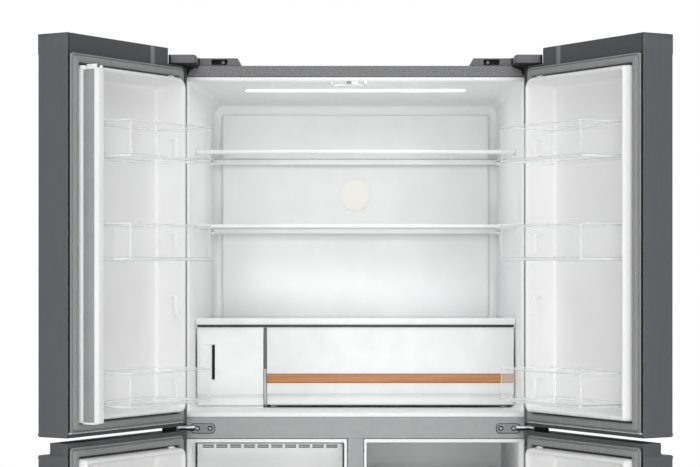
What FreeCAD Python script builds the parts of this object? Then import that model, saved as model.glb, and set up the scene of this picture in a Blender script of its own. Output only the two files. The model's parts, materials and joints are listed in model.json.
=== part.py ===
import FreeCAD, Part
import Sketcher
import os
import re

doc = FreeCAD.newDocument("refrigerator")
dim = doc.addObject("Spreadsheet::Sheet", "Dim")

# Millimetres. X to the right, Y from the cabinet front into the room behind it, Z up from the floor.
values = [
    ("cab_wide", 911, "cabinet width"),
    ("cab_deep", 625, "cabinet depth, front flange to back panel"),
    ("cab_top", 1750, "top of the cabinet"),
    ("cab_low", 45, "underside of the cabinet"),
    ("sheet", 0.8, "steel sheet of case and doors"),
    ("pan_thick", 1.5, "steel of the base pan"),
    ("flange_top", 26, "front flange above the opening"),
    ("flange_side", 40, "front flange beside the opening"),
    ("sill_top", 105, "bottom edge of the lower openings"),
    ("rail_low", 841, "underside of the cross rail"),
    ("rail_tall", 52, "height of the cross rail"),
    ("post_wide", 39, "width of the centre post"),
    ("channel_deep", 20, "depth of the rail and post channels"),
    ("channel_wall", 1.2, "wall of the rail and post channels"),
    ("liner_wall", 2, "thickness of the plastic liners"),
    ("cool_back", 65, "foam behind the upper compartment"),
    ("cool_taper", 30, "narrowing of the upper compartment on each side"),
    ("ceiling_drop", 18, "fall of the ceiling from front to rear"),
    ("freeze_back", 85, "foam and chamber behind the freezer"),
    ("machine_foam", 40, "foam ahead of the machine space"),
    ("step_foam", 40, "foam over the machine space"),
    ("machine_deep", 235, "depth of the machine space"),
    ("machine_top", 290, "top of the machine space"),
    ("machine_side", 6, "foam left beside the machine space"),
    ("chamber_half", 180, "half width of the evaporator chamber"),
    ("chamber_foam", 21, "foam behind the evaporator chamber"),
    ("chamber_tall", 340, "height of the evaporator chamber"),
    ("chamber_drop", 21, "evaporator chamber below the cross rail"),
    ("duct_side", 24, "air duct cover in from the rear corners"),
    ("duct_deep", 20, "depth of the air duct cover"),
    ("duct_wall", 2.5, "wall of the air duct cover"),
    ("duct_tuck", 10, "air duct cover below the crisper cover's top"),
    ("duct_drop", 53, "air duct cover below the opening's top"),
    ("duct_vent_back", 4, "side vents of the duct cover ahead of the rear wall"),
    ("duct_vent_wide", 10, "duct vent width"),
    ("duct_vent_high", 70, "duct vent height"),
    ("duct_vent_drop", 60, "upper duct vents below the top of the duct cover"),
    ("duct_vent_foot", 9, "plain foot of the duct cover below the three vent rows"),
    ("filter_radius", 44, "radius of the round filter cap"),
    ("filter_lift", 58.5, "filter cap above the middle of the duct cover"),
    ("filter_rise", 2, "how far the filter cap stands out"),
    ("lamp_side", 135.5, "ceiling lamp in from the opening's side"),
    ("lamp_back", 372, "front edge of the lamp from the rear wall"),
    ("lamp_deep", 56, "depth of the ceiling lamp"),
    ("lamp_hang", 18, "lamp's lowest face below the opening's top"),
    ("shelf_clear", 13, "shelves behind the closed door bins"),
    ("shelf_back", 24, "space behind the shelves"),
    ("shelf_one_drop", 172, "upper shelf below the opening's top"),
    ("shelf_two_share", 0.557143, "middle shelf as a share of the way up from the crisper cover"),
    ("shelf_three_rise", 239, "crisper cover above the cross rail"),
    ("shelf_thick", 10, "height of the shelf trims"),
    ("shelf_three_thick", 17, "height of the crisper cover trim"),
    ("glass_thick", 4, "shelf glass"),
    ("glass_inset", 14, "shelf glass in from the trim's outer edge"),
    ("glass_hold", 8, "how far the trim holds the glass"),
    ("glass_drop", 1.5, "glass below the top of the trim"),
    ("crisper_clear", 12, "crisper fronts behind the shelf fronts"),
    ("crisper_back", 30, "space behind the crispers"),
    ("crisper_small", 167.6, "left side of the left crisper to the dividing line"),
    ("crisper_side", 19.7, "crisper fronts in from the liner"),
    ("crisper_gap", 8.6, "space between the two crispers"),
    ("crisper_rise", 18, "crispers above the cross rail"),
    ("crisper_lip_rise", 7, "crisper fronts above the crispers' underside"),
    ("crisper_head", 7, "crisper fronts below the cover"),
    ("crisper_wall", 3, "wall of the drawers"),
    ("crisper_face", 14, "thickness of the crisper fronts"),
    ("crisper_slim", 12, "crisper bodies narrower than their fronts beside the tapering wall"),
    ("slide_gap", 0.5, "running gap under the drawers"),
    ("divider_thick", 5.4, "wall between the crispers"),
    ("wood_rise", 52, "wood strip above the bottom of the front"),
    ("wood_tall", 21, "height of the wood strip"),
    ("wood_thick", 2.5, "thickness of the wood strip"),
    ("pull_wide", 37, "width of the pull pocket in the left crisper"),
    ("pull_deep", 9, "depth of the pull pocket"),
    ("pull_rise", 58, "pull pocket above the bottom of the front"),
    ("pull_tall", 90, "height of the pull pocket"),
    ("bay_front", 80, "front of the freezer drawers"),
    ("bay_back", 40, "space behind the long freezer drawers"),
    ("bay_short_back", 15, "space behind the short freezer drawers"),
    ("bay_side", 21.5, "freezer drawers in from the liner"),
    ("bay_post", 10.5, "freezer drawers from the middle wall"),
    ("bay_wall", 2.5, "wall of the freezer drawers"),
    ("bay_face", 10, "front of the freezer drawers"),
    ("ledge_hold", 12, "how far a ledge reaches under a drawer"),
    ("ledge_thick", 8, "height of a drawer ledge"),
    ("vent_wide", 26, "vent slot length"),
    ("vent_high", 4, "vent slot height"),
    ("vent_margin", 10, "plain ends beside the vent slots"),
    ("door_gap", 3, "gap between the doors"),
    ("door_thick", 85, "thickness of a door"),
    ("door_angle", 121, "opening of the doors as drawn"),
    ("upper_drop", 17, "upper doors below the top of the cross rail"),
    ("door_rise", 31, "upper doors above the cabinet"),
    ("lower_rise", 13, "lower doors above the cabinet's underside"),
    ("door_split", 12, "gap between upper and lower doors"),
    ("grip_deep", 35, "depth of the grip step on the lower doors"),
    ("grip_drop", 28.4, "height of the grip step on the lower doors"),
    ("cap_tall", 46, "height of the tall end caps"),
    ("cap_short", 8, "height of the short end cap"),
    ("cap_wall", 6, "wall of the end caps"),
    ("boss_half", 13, "half width of the pin bosses"),
    ("boss_deep", 30, "depth of the pin bosses"),
    ("notch_wide", 77, "length of the hinge notch in the door top"),
    ("notch_drop", 38, "depth of the hinge notch"),
    ("notch_skin", 12, "front wall left ahead of the hinge notch"),
    ("gasket_thick", 12, "gap filled by the gasket"),
    ("gasket_side", 20, "hinge side of the gasket from the cabinet side"),
    ("gasket_free", 2, "free side of the gasket from the door edge"),
    ("gasket_wide", 25, "width of the gasket"),
    ("gasket_base", 5, "thickness of the gasket base"),
    ("gasket_bead", 15, "width of the gasket bead"),
    ("seal_gap", 0.3, "gap left at the closed seal"),
    ("upper_seal_drop", 7, "upper gaskets below the top of the cross rail"),
    ("seal_over", 13, "upper gaskets above the opening"),
    ("lower_seal_drop", 11, "lower gaskets below the sill"),
    ("lower_seal_rise", 13, "lower gaskets above the lower opening"),
    ("dyke_gap", 1.5, "space between gasket and door dyke"),
    ("dyke_rise", 18, "height of the door dyke beyond the seal line"),
    ("dyke_wide", 12, "width of the door dyke"),
    ("tray_deep", 41, "depth of the liner tray below the door's inner face"),
    ("bin_clear", 11.5, "bins from the tray's hinge wall"),
    ("bin_free_side", 71, "bins from the door's free edge"),
    ("bin_reach", 105, "front of the door bins beyond the seal line"),
    ("bin_wall", 2.5, "wall of the door bins"),
    ("bin_one_drop", 277, "bottom of the upper bins below the door's top"),
    ("bin_one_tall", 84, "height of the upper bins"),
    ("bin_two_share", 0.588968, "middle bins as a share of the way up from the lower bins"),
    ("bin_two_tall", 84, "height of the middle bins"),
    ("bin_three_rise", 66, "bottom of the lower bins above the door's bottom"),
    ("bin_three_tall", 79, "height of the lower bins"),
    ("lug_tall", 9, "height of the lugs under the bins"),
    ("pin_in", 14, "hinge pin from the cabinet side"),
    ("pin_out", 43.5, "hinge pin ahead of the cabinet front"),
    ("pin_radius", 4, "radius of the hinge pins"),
    ("run_gap", 0.08, "radial running gap of pins and shafts"),
    ("arm_half", 7, "half width of the hinge arms"),
    ("top_hinge_thick", 3.5, "steel of the top hinges"),
    ("mid_hinge_rise", 3.5, "middle hinge arms above the lower doors"),
    ("mid_hinge_thick", 5, "steel of the middle hinge arms"),
    ("plate_thick", 3, "steel of the middle hinge plates"),
    ("low_hinge_thick", 4, "steel of the bottom hinges"),
    ("pin_bite", 25, "length of the pins inside the doors"),
    ("bush_radius", 7, "radius of the pin shoulders"),
    ("cover_outer", 5, "outer side of the hinge covers"),
    ("cover_inner", 72, "inner side of the hinge cover blocks"),
    ("cover_tail", 178, "inner end of the hinge covers"),
    ("cover_front", 64, "hinge covers ahead of the cabinet front"),
    ("cover_rear", 78, "rear of the hinge covers"),
    ("cover_tall", 21, "height of the hinge cover blocks"),
    ("tail_tall", 19, "height of the hinge cover tails"),
    ("cover_wall", 1.8, "wall of the hinge covers"),
    ("cover_round", 6, "rounding of the hinge cover blocks"),
    ("mullion_wide", 62, "width of the flip mullion"),
    ("mullion_thick", 20, "thickness of the flip mullion"),
    ("mullion_back", 29, "outer face of the folded mullion from the door's free edge"),
    ("mullion_lift", 6, "folded mullion beyond the seal line"),
    ("mullion_seat", 0.6, "face of the turned mullion behind the seal line"),
    ("mullion_clear", 9, "flip mullion above the bottom gasket"),
    ("mullion_foot", 12, "foot below the flip mullion"),
    ("mullion_head", 11, "flip mullion below the top gasket"),
    ("mullion_gap", 0.5, "end gap of the flip mullion"),
    ("pivot_radius", 2.5, "radius of the mullion pivot pins"),
    ("pivot_bite", 7, "length of the mullion pivot pins"),
    ("strip_wide", 30, "width of the steel strip on the mullion"),
    ("strip_thick", 1, "thickness of the steel strip"),
    ("strip_margin", 2, "steel strip short of the mullion ends"),
    ("guide_pin_radius", 4, "radius of the mullion guide pin"),
    ("guide_pin_tall", 11, "height of the mullion guide pin"),
    ("guide_pin_at", 50, "folded guide pin beyond the seal line"),
    ("guide_pin_in", 13, "guide pin behind the mullion's face"),
    ("guide_clear", 5, "mullion guide above the flip mullion"),
    ("guide_room", 3, "room around the guide pin"),
    ("guide_wall", 8, "walls of the mullion guide"),
    ("guide_front", 4, "front of the mullion guide"),
    ("toe_side", 105.5, "toe grille in from the cabinet's side"),
    ("toe_margin", 20, "plain ends of the toe grille"),
    ("toe_bar", 16, "bars between the toe grille slots"),
    ("toe_front", 14, "front of the toe grille"),
    ("toe_thick", 4, "thickness of the toe grille"),
    ("toe_low", 12, "underside of the toe grille"),
    ("foot_radius", 22, "radius of the levelling feet"),
    ("foot_pad", 8, "height of the foot pads"),
    ("foot_stud", 6, "radius of the foot studs"),
    ("foot_in", 60.5, "levelling feet in from the cabinet's side"),
    ("foot_front", 70, "levelling feet behind the front"),
    ("roller_radius", 20, "radius of the rear rollers"),
    ("roller_wide", 24, "width of the rear rollers"),
    ("roller_in", 95.5, "rear rollers in from the cabinet's side"),
    ("roller_back", 65, "rear rollers ahead of the back"),
    ("axle_radius", 4, "radius of the roller axles"),
    ("ear_gap", 1, "side gap of the rollers"),
    ("ear_thick", 3, "steel of the roller ears"),
    ("shell_radius", 72, "radius of the compressor shell"),
    ("shell_tall", 150, "height of the compressor shell"),
    ("shell_round", 34, "rounding of the compressor shell"),
    ("shell_in", 195.5, "compressor in from the cabinet's side"),
    ("shell_back", 120, "compressor ahead of the back"),
    ("grommet_tall", 10, "height of the compressor grommets"),
    ("grommet_radius", 10, "radius of the compressor grommets"),
    ("tube_radius", 4, "radius of the coil tubes"),
    ("coil_pitch", 30, "spacing of the coil tubes"),
    ("warm_in", 55.5, "condenser in from the cabinet's side"),
    ("warm_long", 340, "length of the condenser"),
    ("warm_back", 115, "condenser ahead of the back"),
    ("warm_rise", 40, "lowest condenser tube above the cabinet's underside"),
    ("cold_in", 30, "evaporator plates in from the chamber's side"),
    ("cold_back", 32, "evaporator behind the freezer's rear wall"),
    ("cold_rise", 32, "lowest evaporator tube above the chamber's floor"),
    ("fin_thick", 2, "coil end plates"),
    ("fan_hub", 16, "radius of the fan hubs"),
    ("fan_reach", 50, "radius of the fans"),
    ("fan_deep", 18, "depth of the fan hubs"),
    ("blade_thick", 1.6, "thickness of the fan blades"),
    ("blade_pitch", 35, "pitch angle of the fan blades"),
    ("shaft_radius", 3, "radius of the fan shafts"),
    ("motor_radius", 24, "radius of the fan motors"),
    ("motor_deep", 18, "depth of the fan motors"),
    ("cold_fan_drop", 65, "evaporator fan below the chamber's top"),
    ("warm_fan_side", 60, "condenser fan motor from the centre"),
    ("warm_fan_rise", 105, "condenser fan above the cabinet's underside"),
    ("louvre_wide", 90, "louvre length"),
    ("louvre_high", 6, "louvre height"),
    ("louvre_pitch", 18, "louvre spacing"),
    ("bay_top", 19, "vented drawer below the cross rail"),
    ("vented_tall", 67, "height of the vented drawer"),
    ("bay_gap", 25, "space between the left freezer drawers"),
    ("left_mid_tall", 250, "height of the left middle drawer"),
    ("bay_rise", 25, "lowest freezer drawers above the sill"),
    ("low_gap", 40, "space over the lowest freezer drawers"),
    ("right_low_tall", 270, "height of the right lowest drawer"),
    ("right_mid_tall", 250, "height of the right middle drawer"),
    ("plate_start", 46, "outer end of the middle hinge plates from the cabinet side"),
    ("plate_long", 66, "length of the middle hinge plates"),
    ("plate_tall", 23, "height of the middle hinge plates"),
    ("plate_rise", 16, "middle hinge plates above the rail's underside"),
    ("screw_one", 68, "first hinge screw from the cabinet side"),
    ("screw_two", 100, "second hinge screw from the cabinet side"),
    ("screw_radius", 5, "radius of the hinge screw heads"),
    ("screw_head", 2.5, "height of the hinge screw heads"),
    ("window_start", 104, "hinge cover window from the cabinet side"),
    ("window_long", 39, "length of the hinge cover window"),
    ("low_plate_long", 90, "inner end of the bottom hinge plates"),
    ("low_plate_front", 20, "front of the bottom hinge plates"),
    ("low_plate_deep", 28, "depth of the bottom hinge plates"),
    ("ear_wide", 6, "mullion pivot ears beside the pivot"),
    ("ear_deep", 5, "mullion pivot ears beyond the pivot"),
    ("gasket_clear", 0.5, "mullion pivot ears short of the gasket"),
    ("gland_radius", 14, "radius of the cord gland"),
    ("gland_bore", 5, "bore of the cord gland"),
    ("gland_tall", 8, "length of the cord gland"),
    ("gland_in", 70.5, "cord gland in from the cabinet's side"),
    ("gland_drop", 75, "cord gland below the machine space's top"),
]
for row, (alias, value, note) in enumerate(values, 1):
    dim.set(f"A{row}", note)
    dim.set(f"B{row}", str(value))
    dim.setAlias(f"B{row}", alias)
doc.recompute()
names = re.compile(r"\b(" + "|".join(alias for alias, value, note in values) + r")\b")

# Places that follow from other sizes.
lines = {
    "rail_high": "(rail_low+rail_tall)",
    "cool_deep": "(cab_deep-cool_back)",
    "freeze_deep": "(cab_deep-freeze_back)",
    "freeze_short": "(machine_front-machine_foam)",
    "freeze_step": "(machine_top+step_foam)",
    "machine_front": "(cab_deep-machine_deep)",
    "chamber_rear": "(cab_deep-chamber_foam)",
    "chamber_low": "(chamber_high-chamber_tall)",
    "chamber_high": "(rail_low-chamber_drop)",
    "duct_half": "(cab_wide/2-flange_side-liner_wall-cool_taper-duct_side)",
    "duct_low": "(shelf_three-duct_tuck)",
    "duct_high": "(cab_top-flange_top-duct_drop)",
    "duct_vent_pitch": "((duct_high-duct_low-duct_vent_foot)/3)",
    "filter_high": "((duct_low+duct_high)/2+filter_lift)",
    "lamp_half": "(cab_wide/2-flange_side-lamp_side)",
    "lamp_front": "(cool_deep-lamp_back)",
    "lamp_low": "(cab_top-flange_top-lamp_hang)",
    "shelf_front": "(bin_reach+shelf_clear)",
    "shelf_rear": "(cool_deep-shelf_back)",
    "shelf_one": "(cab_top-flange_top-shelf_one_drop)",
    "shelf_two": "(shelf_three+(shelf_one-shelf_three)*shelf_two_share)",
    "shelf_three": "(rail_high+shelf_three_rise)",
    "crisper_front": "(shelf_front+crisper_clear)",
    "crisper_rear": "(cool_deep-crisper_back)",
    "crisper_left": "(-crisper_right)",
    "crisper_split": "(crisper_left+crisper_small)",
    "crisper_right": "(cab_wide/2-flange_side-liner_wall-crisper_side)",
    "crisper_low": "(rail_high+crisper_rise)",
    "crisper_lip": "(crisper_low+crisper_lip_rise)",
    "crisper_high": "(shelf_three-shelf_three_thick-crisper_head)",
    "wood_low": "(crisper_lip+wood_rise)",
    "wood_high": "(wood_low+wood_tall)",
    "pull_low": "(crisper_lip+pull_rise)",
    "pull_high": "(pull_low+pull_tall)",
    "bay_rear": "(freeze_deep-bay_back)",
    "bay_short_rear": "(freeze_short-bay_short_back)",
    "bay_outer": "(cab_wide/2-flange_side-liner_wall-bay_side)",
    "bay_inner": "(post_wide/2+liner_wall+bay_post)",
    "vent_pitch": "((bay_outer-bay_inner-2*vent_margin)/10)",
    "upper_low": "(rail_high-upper_drop)",
    "upper_top": "(cab_top+door_rise)",
    "lower_low": "(cab_low+lower_rise)",
    "lower_top": "(upper_low-door_split)",
    "upper_seal_low": "(rail_high-upper_seal_drop)",
    "upper_seal_high": "(cab_top-flange_top+seal_over)",
    "lower_seal_low": "(sill_top-lower_seal_drop)",
    "lower_seal_high": "(rail_low+lower_seal_rise)",
    "bin_hinge": "(gasket_side+gasket_wide+dyke_gap+dyke_wide+bin_clear)",
    "bin_free": "(cab_wide/2-door_gap/2-bin_free_side)",
    "bin_one": "(upper_top-bin_one_drop)",
    "bin_two": "(bin_three+(bin_one-bin_three)*bin_two_share)",
    "bin_three": "(upper_low+bin_three_rise)",
    "mid_hinge_low": "(lower_top+mid_hinge_rise)",
    "mullion_face": "(cab_wide/2-door_gap/2-mullion_back)",
    "mullion_low": "(upper_seal_low+gasket_wide+mullion_clear)",
    "mullion_high": "(upper_seal_high-gasket_wide-mullion_head)",
    "guide_low": "(mullion_high+guide_clear)",
    "toe_half": "(cab_wide/2-toe_side)",
    "toe_pitch": "((2*toe_half-2*toe_margin)/6)",
    "foot_side": "(cab_wide/2-foot_in)",
    "roller_side": "(cab_wide/2-roller_in)",
    "roller_rear": "(cab_deep-roller_back)",
    "shell_side": "(cab_wide/2-shell_in)",
    "shell_rear": "(cab_deep-shell_back)",
    "warm_left": "(-(cab_wide/2-warm_in))",
    "warm_right": "(warm_left+warm_long)",
    "warm_rear": "(cab_deep-warm_back)",
    "warm_low": "(cab_low+warm_rise)",
    "cold_half": "(chamber_half-cold_in)",
    "cold_rear": "(freeze_deep+cold_back)",
    "cold_low": "(chamber_low+cold_rise)",
    "cold_fan_high": "(chamber_high-cold_fan_drop)",
    "warm_fan_high": "(cab_low+warm_fan_rise)",
    "gland_side": "(cab_wide/2-gland_in)",
    "gland_high": "(machine_top-gland_drop)",
}
follow = re.compile(r"\b(" + "|".join(lines) + r")\b")

# Lines that several pieces share.
mouth = "(cab_wide/2-flange_side)"
mouth_top = "(cab_top-flange_top)"
wall_front = f"({mouth}-liner_wall)"
wall_rear = f"({mouth}-liner_wall-cool_taper)"
pan_top = "(cab_low+pan_thick)"
inside = "(cab_wide/2-sheet)"
door_wide = "(cab_wide/2-door_gap/2)"
door_out = "(-gasket_thick-door_thick)"
door_in = "(-gasket_thick)"
tray_back = "(-gasket_thick-tray_deep)"
dyke_start = "(gasket_side+gasket_wide+dyke_gap)"
seal_free = f"({door_wide}-gasket_free)"
pivot_along = "((mullion_face+mullion_seat+cab_wide/2-mullion_wide/2-mullion_lift)/2)"
pivot_deep = "((mullion_face+mullion_seat-cab_wide/2+mullion_wide/2+mullion_lift)/2)"
notch_floor = "(upper_top-notch_drop)"


def spell(text):
    text = str(text)
    while follow.search(text):
        text = follow.sub(lambda found: lines[found.group(1)], text)
    return names.sub(r"Dim.\1", text)


def bind(item, prop, text):
    item.setExpression(prop, spell(text))


def turn(item, axis, angle):
    place = item.Placement
    place.Rotation = FreeCAD.Rotation(FreeCAD.Vector(*axis), angle)
    item.Placement = place


def box(name, x, y, z):
    item = doc.addObject("Part::Box", name)
    for prop, axis, (low, high) in (("Length", "x", x), ("Width", "y", y), ("Height", "z", z)):
        bind(item, prop, f"({high})-({low})")
        bind(item, f"Placement.Base.{axis}", low)
    return item


def rod(name, axis, at, reach, radius):
    item = doc.addObject("Part::Cylinder", name)
    turn(item, {"x": (0, 1, 0), "y": (-1, 0, 0), "z": (0, 0, 1)}[axis], 0 if axis == "z" else 90)
    low, high = reach
    bind(item, "Radius", radius)
    bind(item, "Height", f"({high})-({low})")
    spots = list(at)
    for letter in "xyz":
        bind(item, f"Placement.Base.{letter}", low if letter == axis else spots.pop(0))
    return item


def wedge(name, half, rear_half, y, z, rear_z):
    item = doc.addObject("Part::Wedge", name)
    for prop, text in (
        ("Xmin", f"-({half})"), ("Xmax", half), ("X2min", f"-({rear_half})"), ("X2max", rear_half),
        ("Ymin", y[0]), ("Ymax", y[1]), ("Zmin", z[0]), ("Zmax", z[1]),
        ("Z2min", rear_z[0]), ("Z2max", rear_z[1]),
    ):
        bind(item, prop, text)
    return item


def fuse(name, *parts):
    item = doc.addObject("Part::MultiFuse", name)
    item.Shapes = list(parts)
    item.Refine = True
    return item


def cut(name, base, *tools):
    item = doc.addObject("Part::Cut", name)
    item.Base = base
    item.Tool = tools[0] if len(tools) == 1 else fuse(name + "_tools", *tools)
    item.Refine = True
    return item


def common(name, base, tool):
    item = doc.addObject("Part::Common", name)
    item.Base = base
    item.Tool = tool
    return item


def mirror(name, source):
    item = doc.addObject("Part::Mirroring", name)
    item.Source = source
    item.Normal = FreeCAD.Vector(1, 0, 0)
    return item


def together(name, *parts):
    item = doc.addObject("Part::Compound", name)
    item.Links = list(parts)
    return item


def pair(name, left):
    return together(name, left, mirror(name + "_right", left))


def across(low, high):
    return f"({low})-cab_wide/2", f"({high})-cab_wide/2"


def both(half):
    return f"-({half})", half


def frame(name, along, y, z, wide):
    whole = box(name + "_whole", across(*along), y, z)
    hole = box(
        name + "_hole", across(f"({along[0]})+{wide}", f"({along[1]})-{wide}"),
        (f"({y[0]})-1", f"({y[1]})+1"), (f"({z[0]})+{wide}", f"({z[1]})-{wide}"),
    )
    return cut(name, whole, hole)


def revolve(name, points):
    # A profile of radius and height, turned about Z; each corner is bound to the sheet.
    body = doc.addObject("PartDesign::Body", name)
    sketch = body.newObject("Sketcher::SketchObject", name + "_profile")
    plane = [part for part in body.Origin.OriginFeatures if part.Role == "XZ_Plane"][0]
    sketch.AttachmentSupport = [(plane, "")]
    sketch.MapMode = "FlatFace"
    count = len(points)
    spots = []
    for radius, height in points:
        spots.append([float(number(radius)), float(number(height))])
    for at in range(count):
        start, end = spots[at], spots[(at + 1) % count]
        sketch.addGeometry(Part.LineSegment(FreeCAD.Vector(*start, 0), FreeCAD.Vector(*end, 0)), False)
    for at in range(count):
        sketch.addConstraint(Sketcher.Constraint("Coincident", at, 2, (at + 1) % count, 1))
    for at, (radius, height) in enumerate(points):
        for kind, text, spot, line in (("DistanceX", radius, 0, -2), ("DistanceY", height, 1, -1)):
            if str(text) == "0":
                sketch.addConstraint(Sketcher.Constraint("PointOnObject", at, 1, line))
            else:
                rule = sketch.addConstraint(Sketcher.Constraint(kind, -1, 1, at, 1, spots[at][spot]))
                bind(sketch, f"Constraints[{rule}]", text)
    spin = body.newObject("PartDesign::Revolution", name + "_spin")
    spin.Profile = sketch
    spin.ReferenceAxis = (sketch, ["V_Axis"])
    spin.Angle = 360
    return body


def number(text):
    # The present value of a line of the sheet, for drawing a sketch before it is bound.
    return dim.evalExpression(spell(text))


# Cabinet: steel wrap, back, base, liners and the foam between them.
room = wedge(
    "cool_room", wall_front, wall_rear, (0, "cool_deep"),
    ("rail_high+liner_wall", f"{mouth_top}-liner_wall"),
    ("rail_high+liner_wall", f"{mouth_top}-liner_wall-ceiling_drop"),
)
room_skin = wedge(
    "cool_room_skin", mouth, f"{wall_rear}+liner_wall", (0, "cool_deep+liner_wall"),
    ("rail_high", mouth_top), ("rail_high", f"{mouth_top}-ceiling_drop"),
)
cut(
    "outer_case",
    box("case_block", both("cab_wide/2"), (0, "cab_deep"), ("cab_low", "cab_top")),
    box("case_room", both(inside), ("sheet", "cab_deep+1"), ("cab_low-1", "cab_top-sheet")),
    box("case_mouth", both(mouth), (-1, "sheet+1"), ("sill_top", mouth_top)),
)
box("back_panel", both(inside), ("cab_deep-sheet", "cab_deep"), ("machine_top", "cab_top-sheet"))

ears = []
for side in (-1, 1):
    for edge in (-1, 1):
        near = f"roller_side*{side}+{edge}*(roller_wide/2+ear_gap)"
        far = f"{near}+{edge}*ear_thick"
        span = (near, far) if edge > 0 else (far, near)
        ears.append(box(
            f"ear_{len(ears)}", span, ("roller_rear-10", "roller_rear+10"),
            ("roller_radius-10", "cab_low"),
        ))
    ears.append(rod(
        f"axle_{side + 1}", "x", ("roller_rear", "roller_radius"),
        (f"roller_side*{side}-roller_wide/2-ear_gap-ear_thick",
         f"roller_side*{side}+roller_wide/2+ear_gap+ear_thick"),
        "axle_radius",
    ))
fuse(
    "base_pan",
    box("pan_plate", both(inside), ("sheet", "cab_deep"), ("cab_low", pan_top)), *ears,
)

rail = cut(
    "cross_rail",
    box("rail_block", both(mouth), (0, "channel_deep"), ("rail_low", "rail_high")),
    box("rail_room", both(f"{mouth}+1"), ("channel_wall", "channel_deep+1"),
        ("rail_low+channel_wall", "rail_high-channel_wall")),
)
post = cut(
    "center_post",
    box("post_block", both("post_wide/2"), (0, "channel_deep"), ("sill_top", "rail_low")),
    box("post_room", both("post_wide/2-channel_wall"), ("channel_wall", "channel_deep+1"),
        ("sill_top-1", "rail_low+1")),
)
cut("fridge_liner", room_skin, room)

vented_low = "(rail_low-bay_top-vented_tall)"
left_mid_low = f"({vented_low}-bay_gap-left_mid_tall)"
floor_low = "(sill_top+bay_rise)"
right_mid_low = f"({floor_low}+right_low_tall+low_gap)"
bays = [
    ("freezer_drawer_vented", -1, vented_low, "(rail_low-bay_top)", "bay_rear"),
    ("freezer_drawer_left_mid", -1, left_mid_low, f"({vented_low}-bay_gap)", "bay_rear"),
    ("freezer_drawer_left_low", -1, floor_low, f"({left_mid_low}-low_gap)", "bay_short_rear"),
    ("freezer_drawer_right_mid", 1, right_mid_low, f"({right_mid_low}+right_mid_tall)", "bay_rear"),
    ("freezer_drawer_right_low", 1, floor_low, f"({floor_low}+right_low_tall)", "bay_short_rear"),
]


def freezer(name, side):
    outer = (f"-{mouth}", "-post_wide/2")
    inner = (f"-{mouth}+liner_wall", "-post_wide/2-liner_wall")
    skin = fuse(
        name + "_skin",
        box(name + "_skin_a", outer, (0, "freeze_deep+liner_wall"), ("freeze_step-liner_wall", "rail_low")),
        box(name + "_skin_b", outer, (0, "freeze_short+liner_wall"), ("sill_top", "freeze_step")),
    )
    space = fuse(
        name + "_space",
        box(name + "_space_a", inner, (-1, "freeze_deep"), ("freeze_step", "rail_low-liner_wall")),
        box(name + "_space_b", inner, (-1, "freeze_short"), ("sill_top+liner_wall", "freeze_step+1")),
    )
    ledges = []
    for label, where, low, high, rear in bays:
        if where != side:
            continue
        tall = (f"{low}-slide_gap-ledge_thick", f"{low}-slide_gap")
        ledges.append(box(f"{label}_ledge_a", (f"-{mouth}+liner_wall", "-bay_outer+ledge_hold"),
                          ("bay_front+10", rear), tall))
        ledges.append(box(f"{label}_ledge_b", ("-bay_inner-ledge_hold", "-post_wide/2-liner_wall"),
                          ("bay_front+10", rear), tall))
    return skin, fuse(name, cut(name + "_shell", skin, space), *ledges)


left_skin, left_bay = freezer("freezer_left", -1)
right_skin, right_bay = freezer("freezer_right", 1)
together("freezer_liners", left_bay, mirror("freezer_right_side", right_bay))
cut(
    "insulation",
    box("foam_block", both(inside), ("sheet", "cab_deep-sheet"), (pan_top, "cab_top-sheet")),
    room_skin, left_skin, mirror("freezer_right_skin_side", right_skin), rail, post,
    box("machine_space", both(f"{inside}-machine_side"), ("machine_front", "cab_deep"), (0, "machine_top")),
    box("chamber", both("chamber_half"), ("freeze_deep+liner_wall", "chamber_rear"),
        ("chamber_low", "chamber_high")),
)

# Upper compartment: air duct cover, lamp, shelves and crisper rails.
duct_vents = []
for side in (-1, 1):
    for level in (0, 1, 2):
        duct_vents.append(box(
            f"duct_vent_{side + 1}_{level}",
            (f"{side}*(duct_half-duct_wall/2)-duct_wall", f"{side}*(duct_half-duct_wall/2)+duct_wall"),
            ("cool_deep-duct_vent_back-duct_vent_wide", "cool_deep-duct_vent_back"),
            (f"duct_high-duct_vent_drop-duct_vent_high-{level}*duct_vent_pitch",
             f"duct_high-duct_vent_drop-{level}*duct_vent_pitch"),
        ))
fuse(
    "duct_cover",
    cut(
        "duct_shell",
        box("duct_block", both("duct_half"), ("cool_deep-duct_deep", "cool_deep"), ("duct_low", "duct_high")),
        box("duct_room", both("duct_half-duct_wall"), ("cool_deep-duct_deep+duct_wall", "cool_deep+1"),
            ("duct_low+duct_wall", "duct_high-duct_wall")),
        *duct_vents,
    ),
    rod("filter_cap", "y", (0, "filter_high"),
        ("cool_deep-duct_deep-filter_rise", "cool_deep-duct_deep"), "filter_radius"),
)
common(
    "ceiling_lamp",
    box("lamp_block", both("lamp_half"), ("lamp_front", "lamp_front+lamp_deep"), ("lamp_low", "cab_top")),
    room,
)

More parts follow.
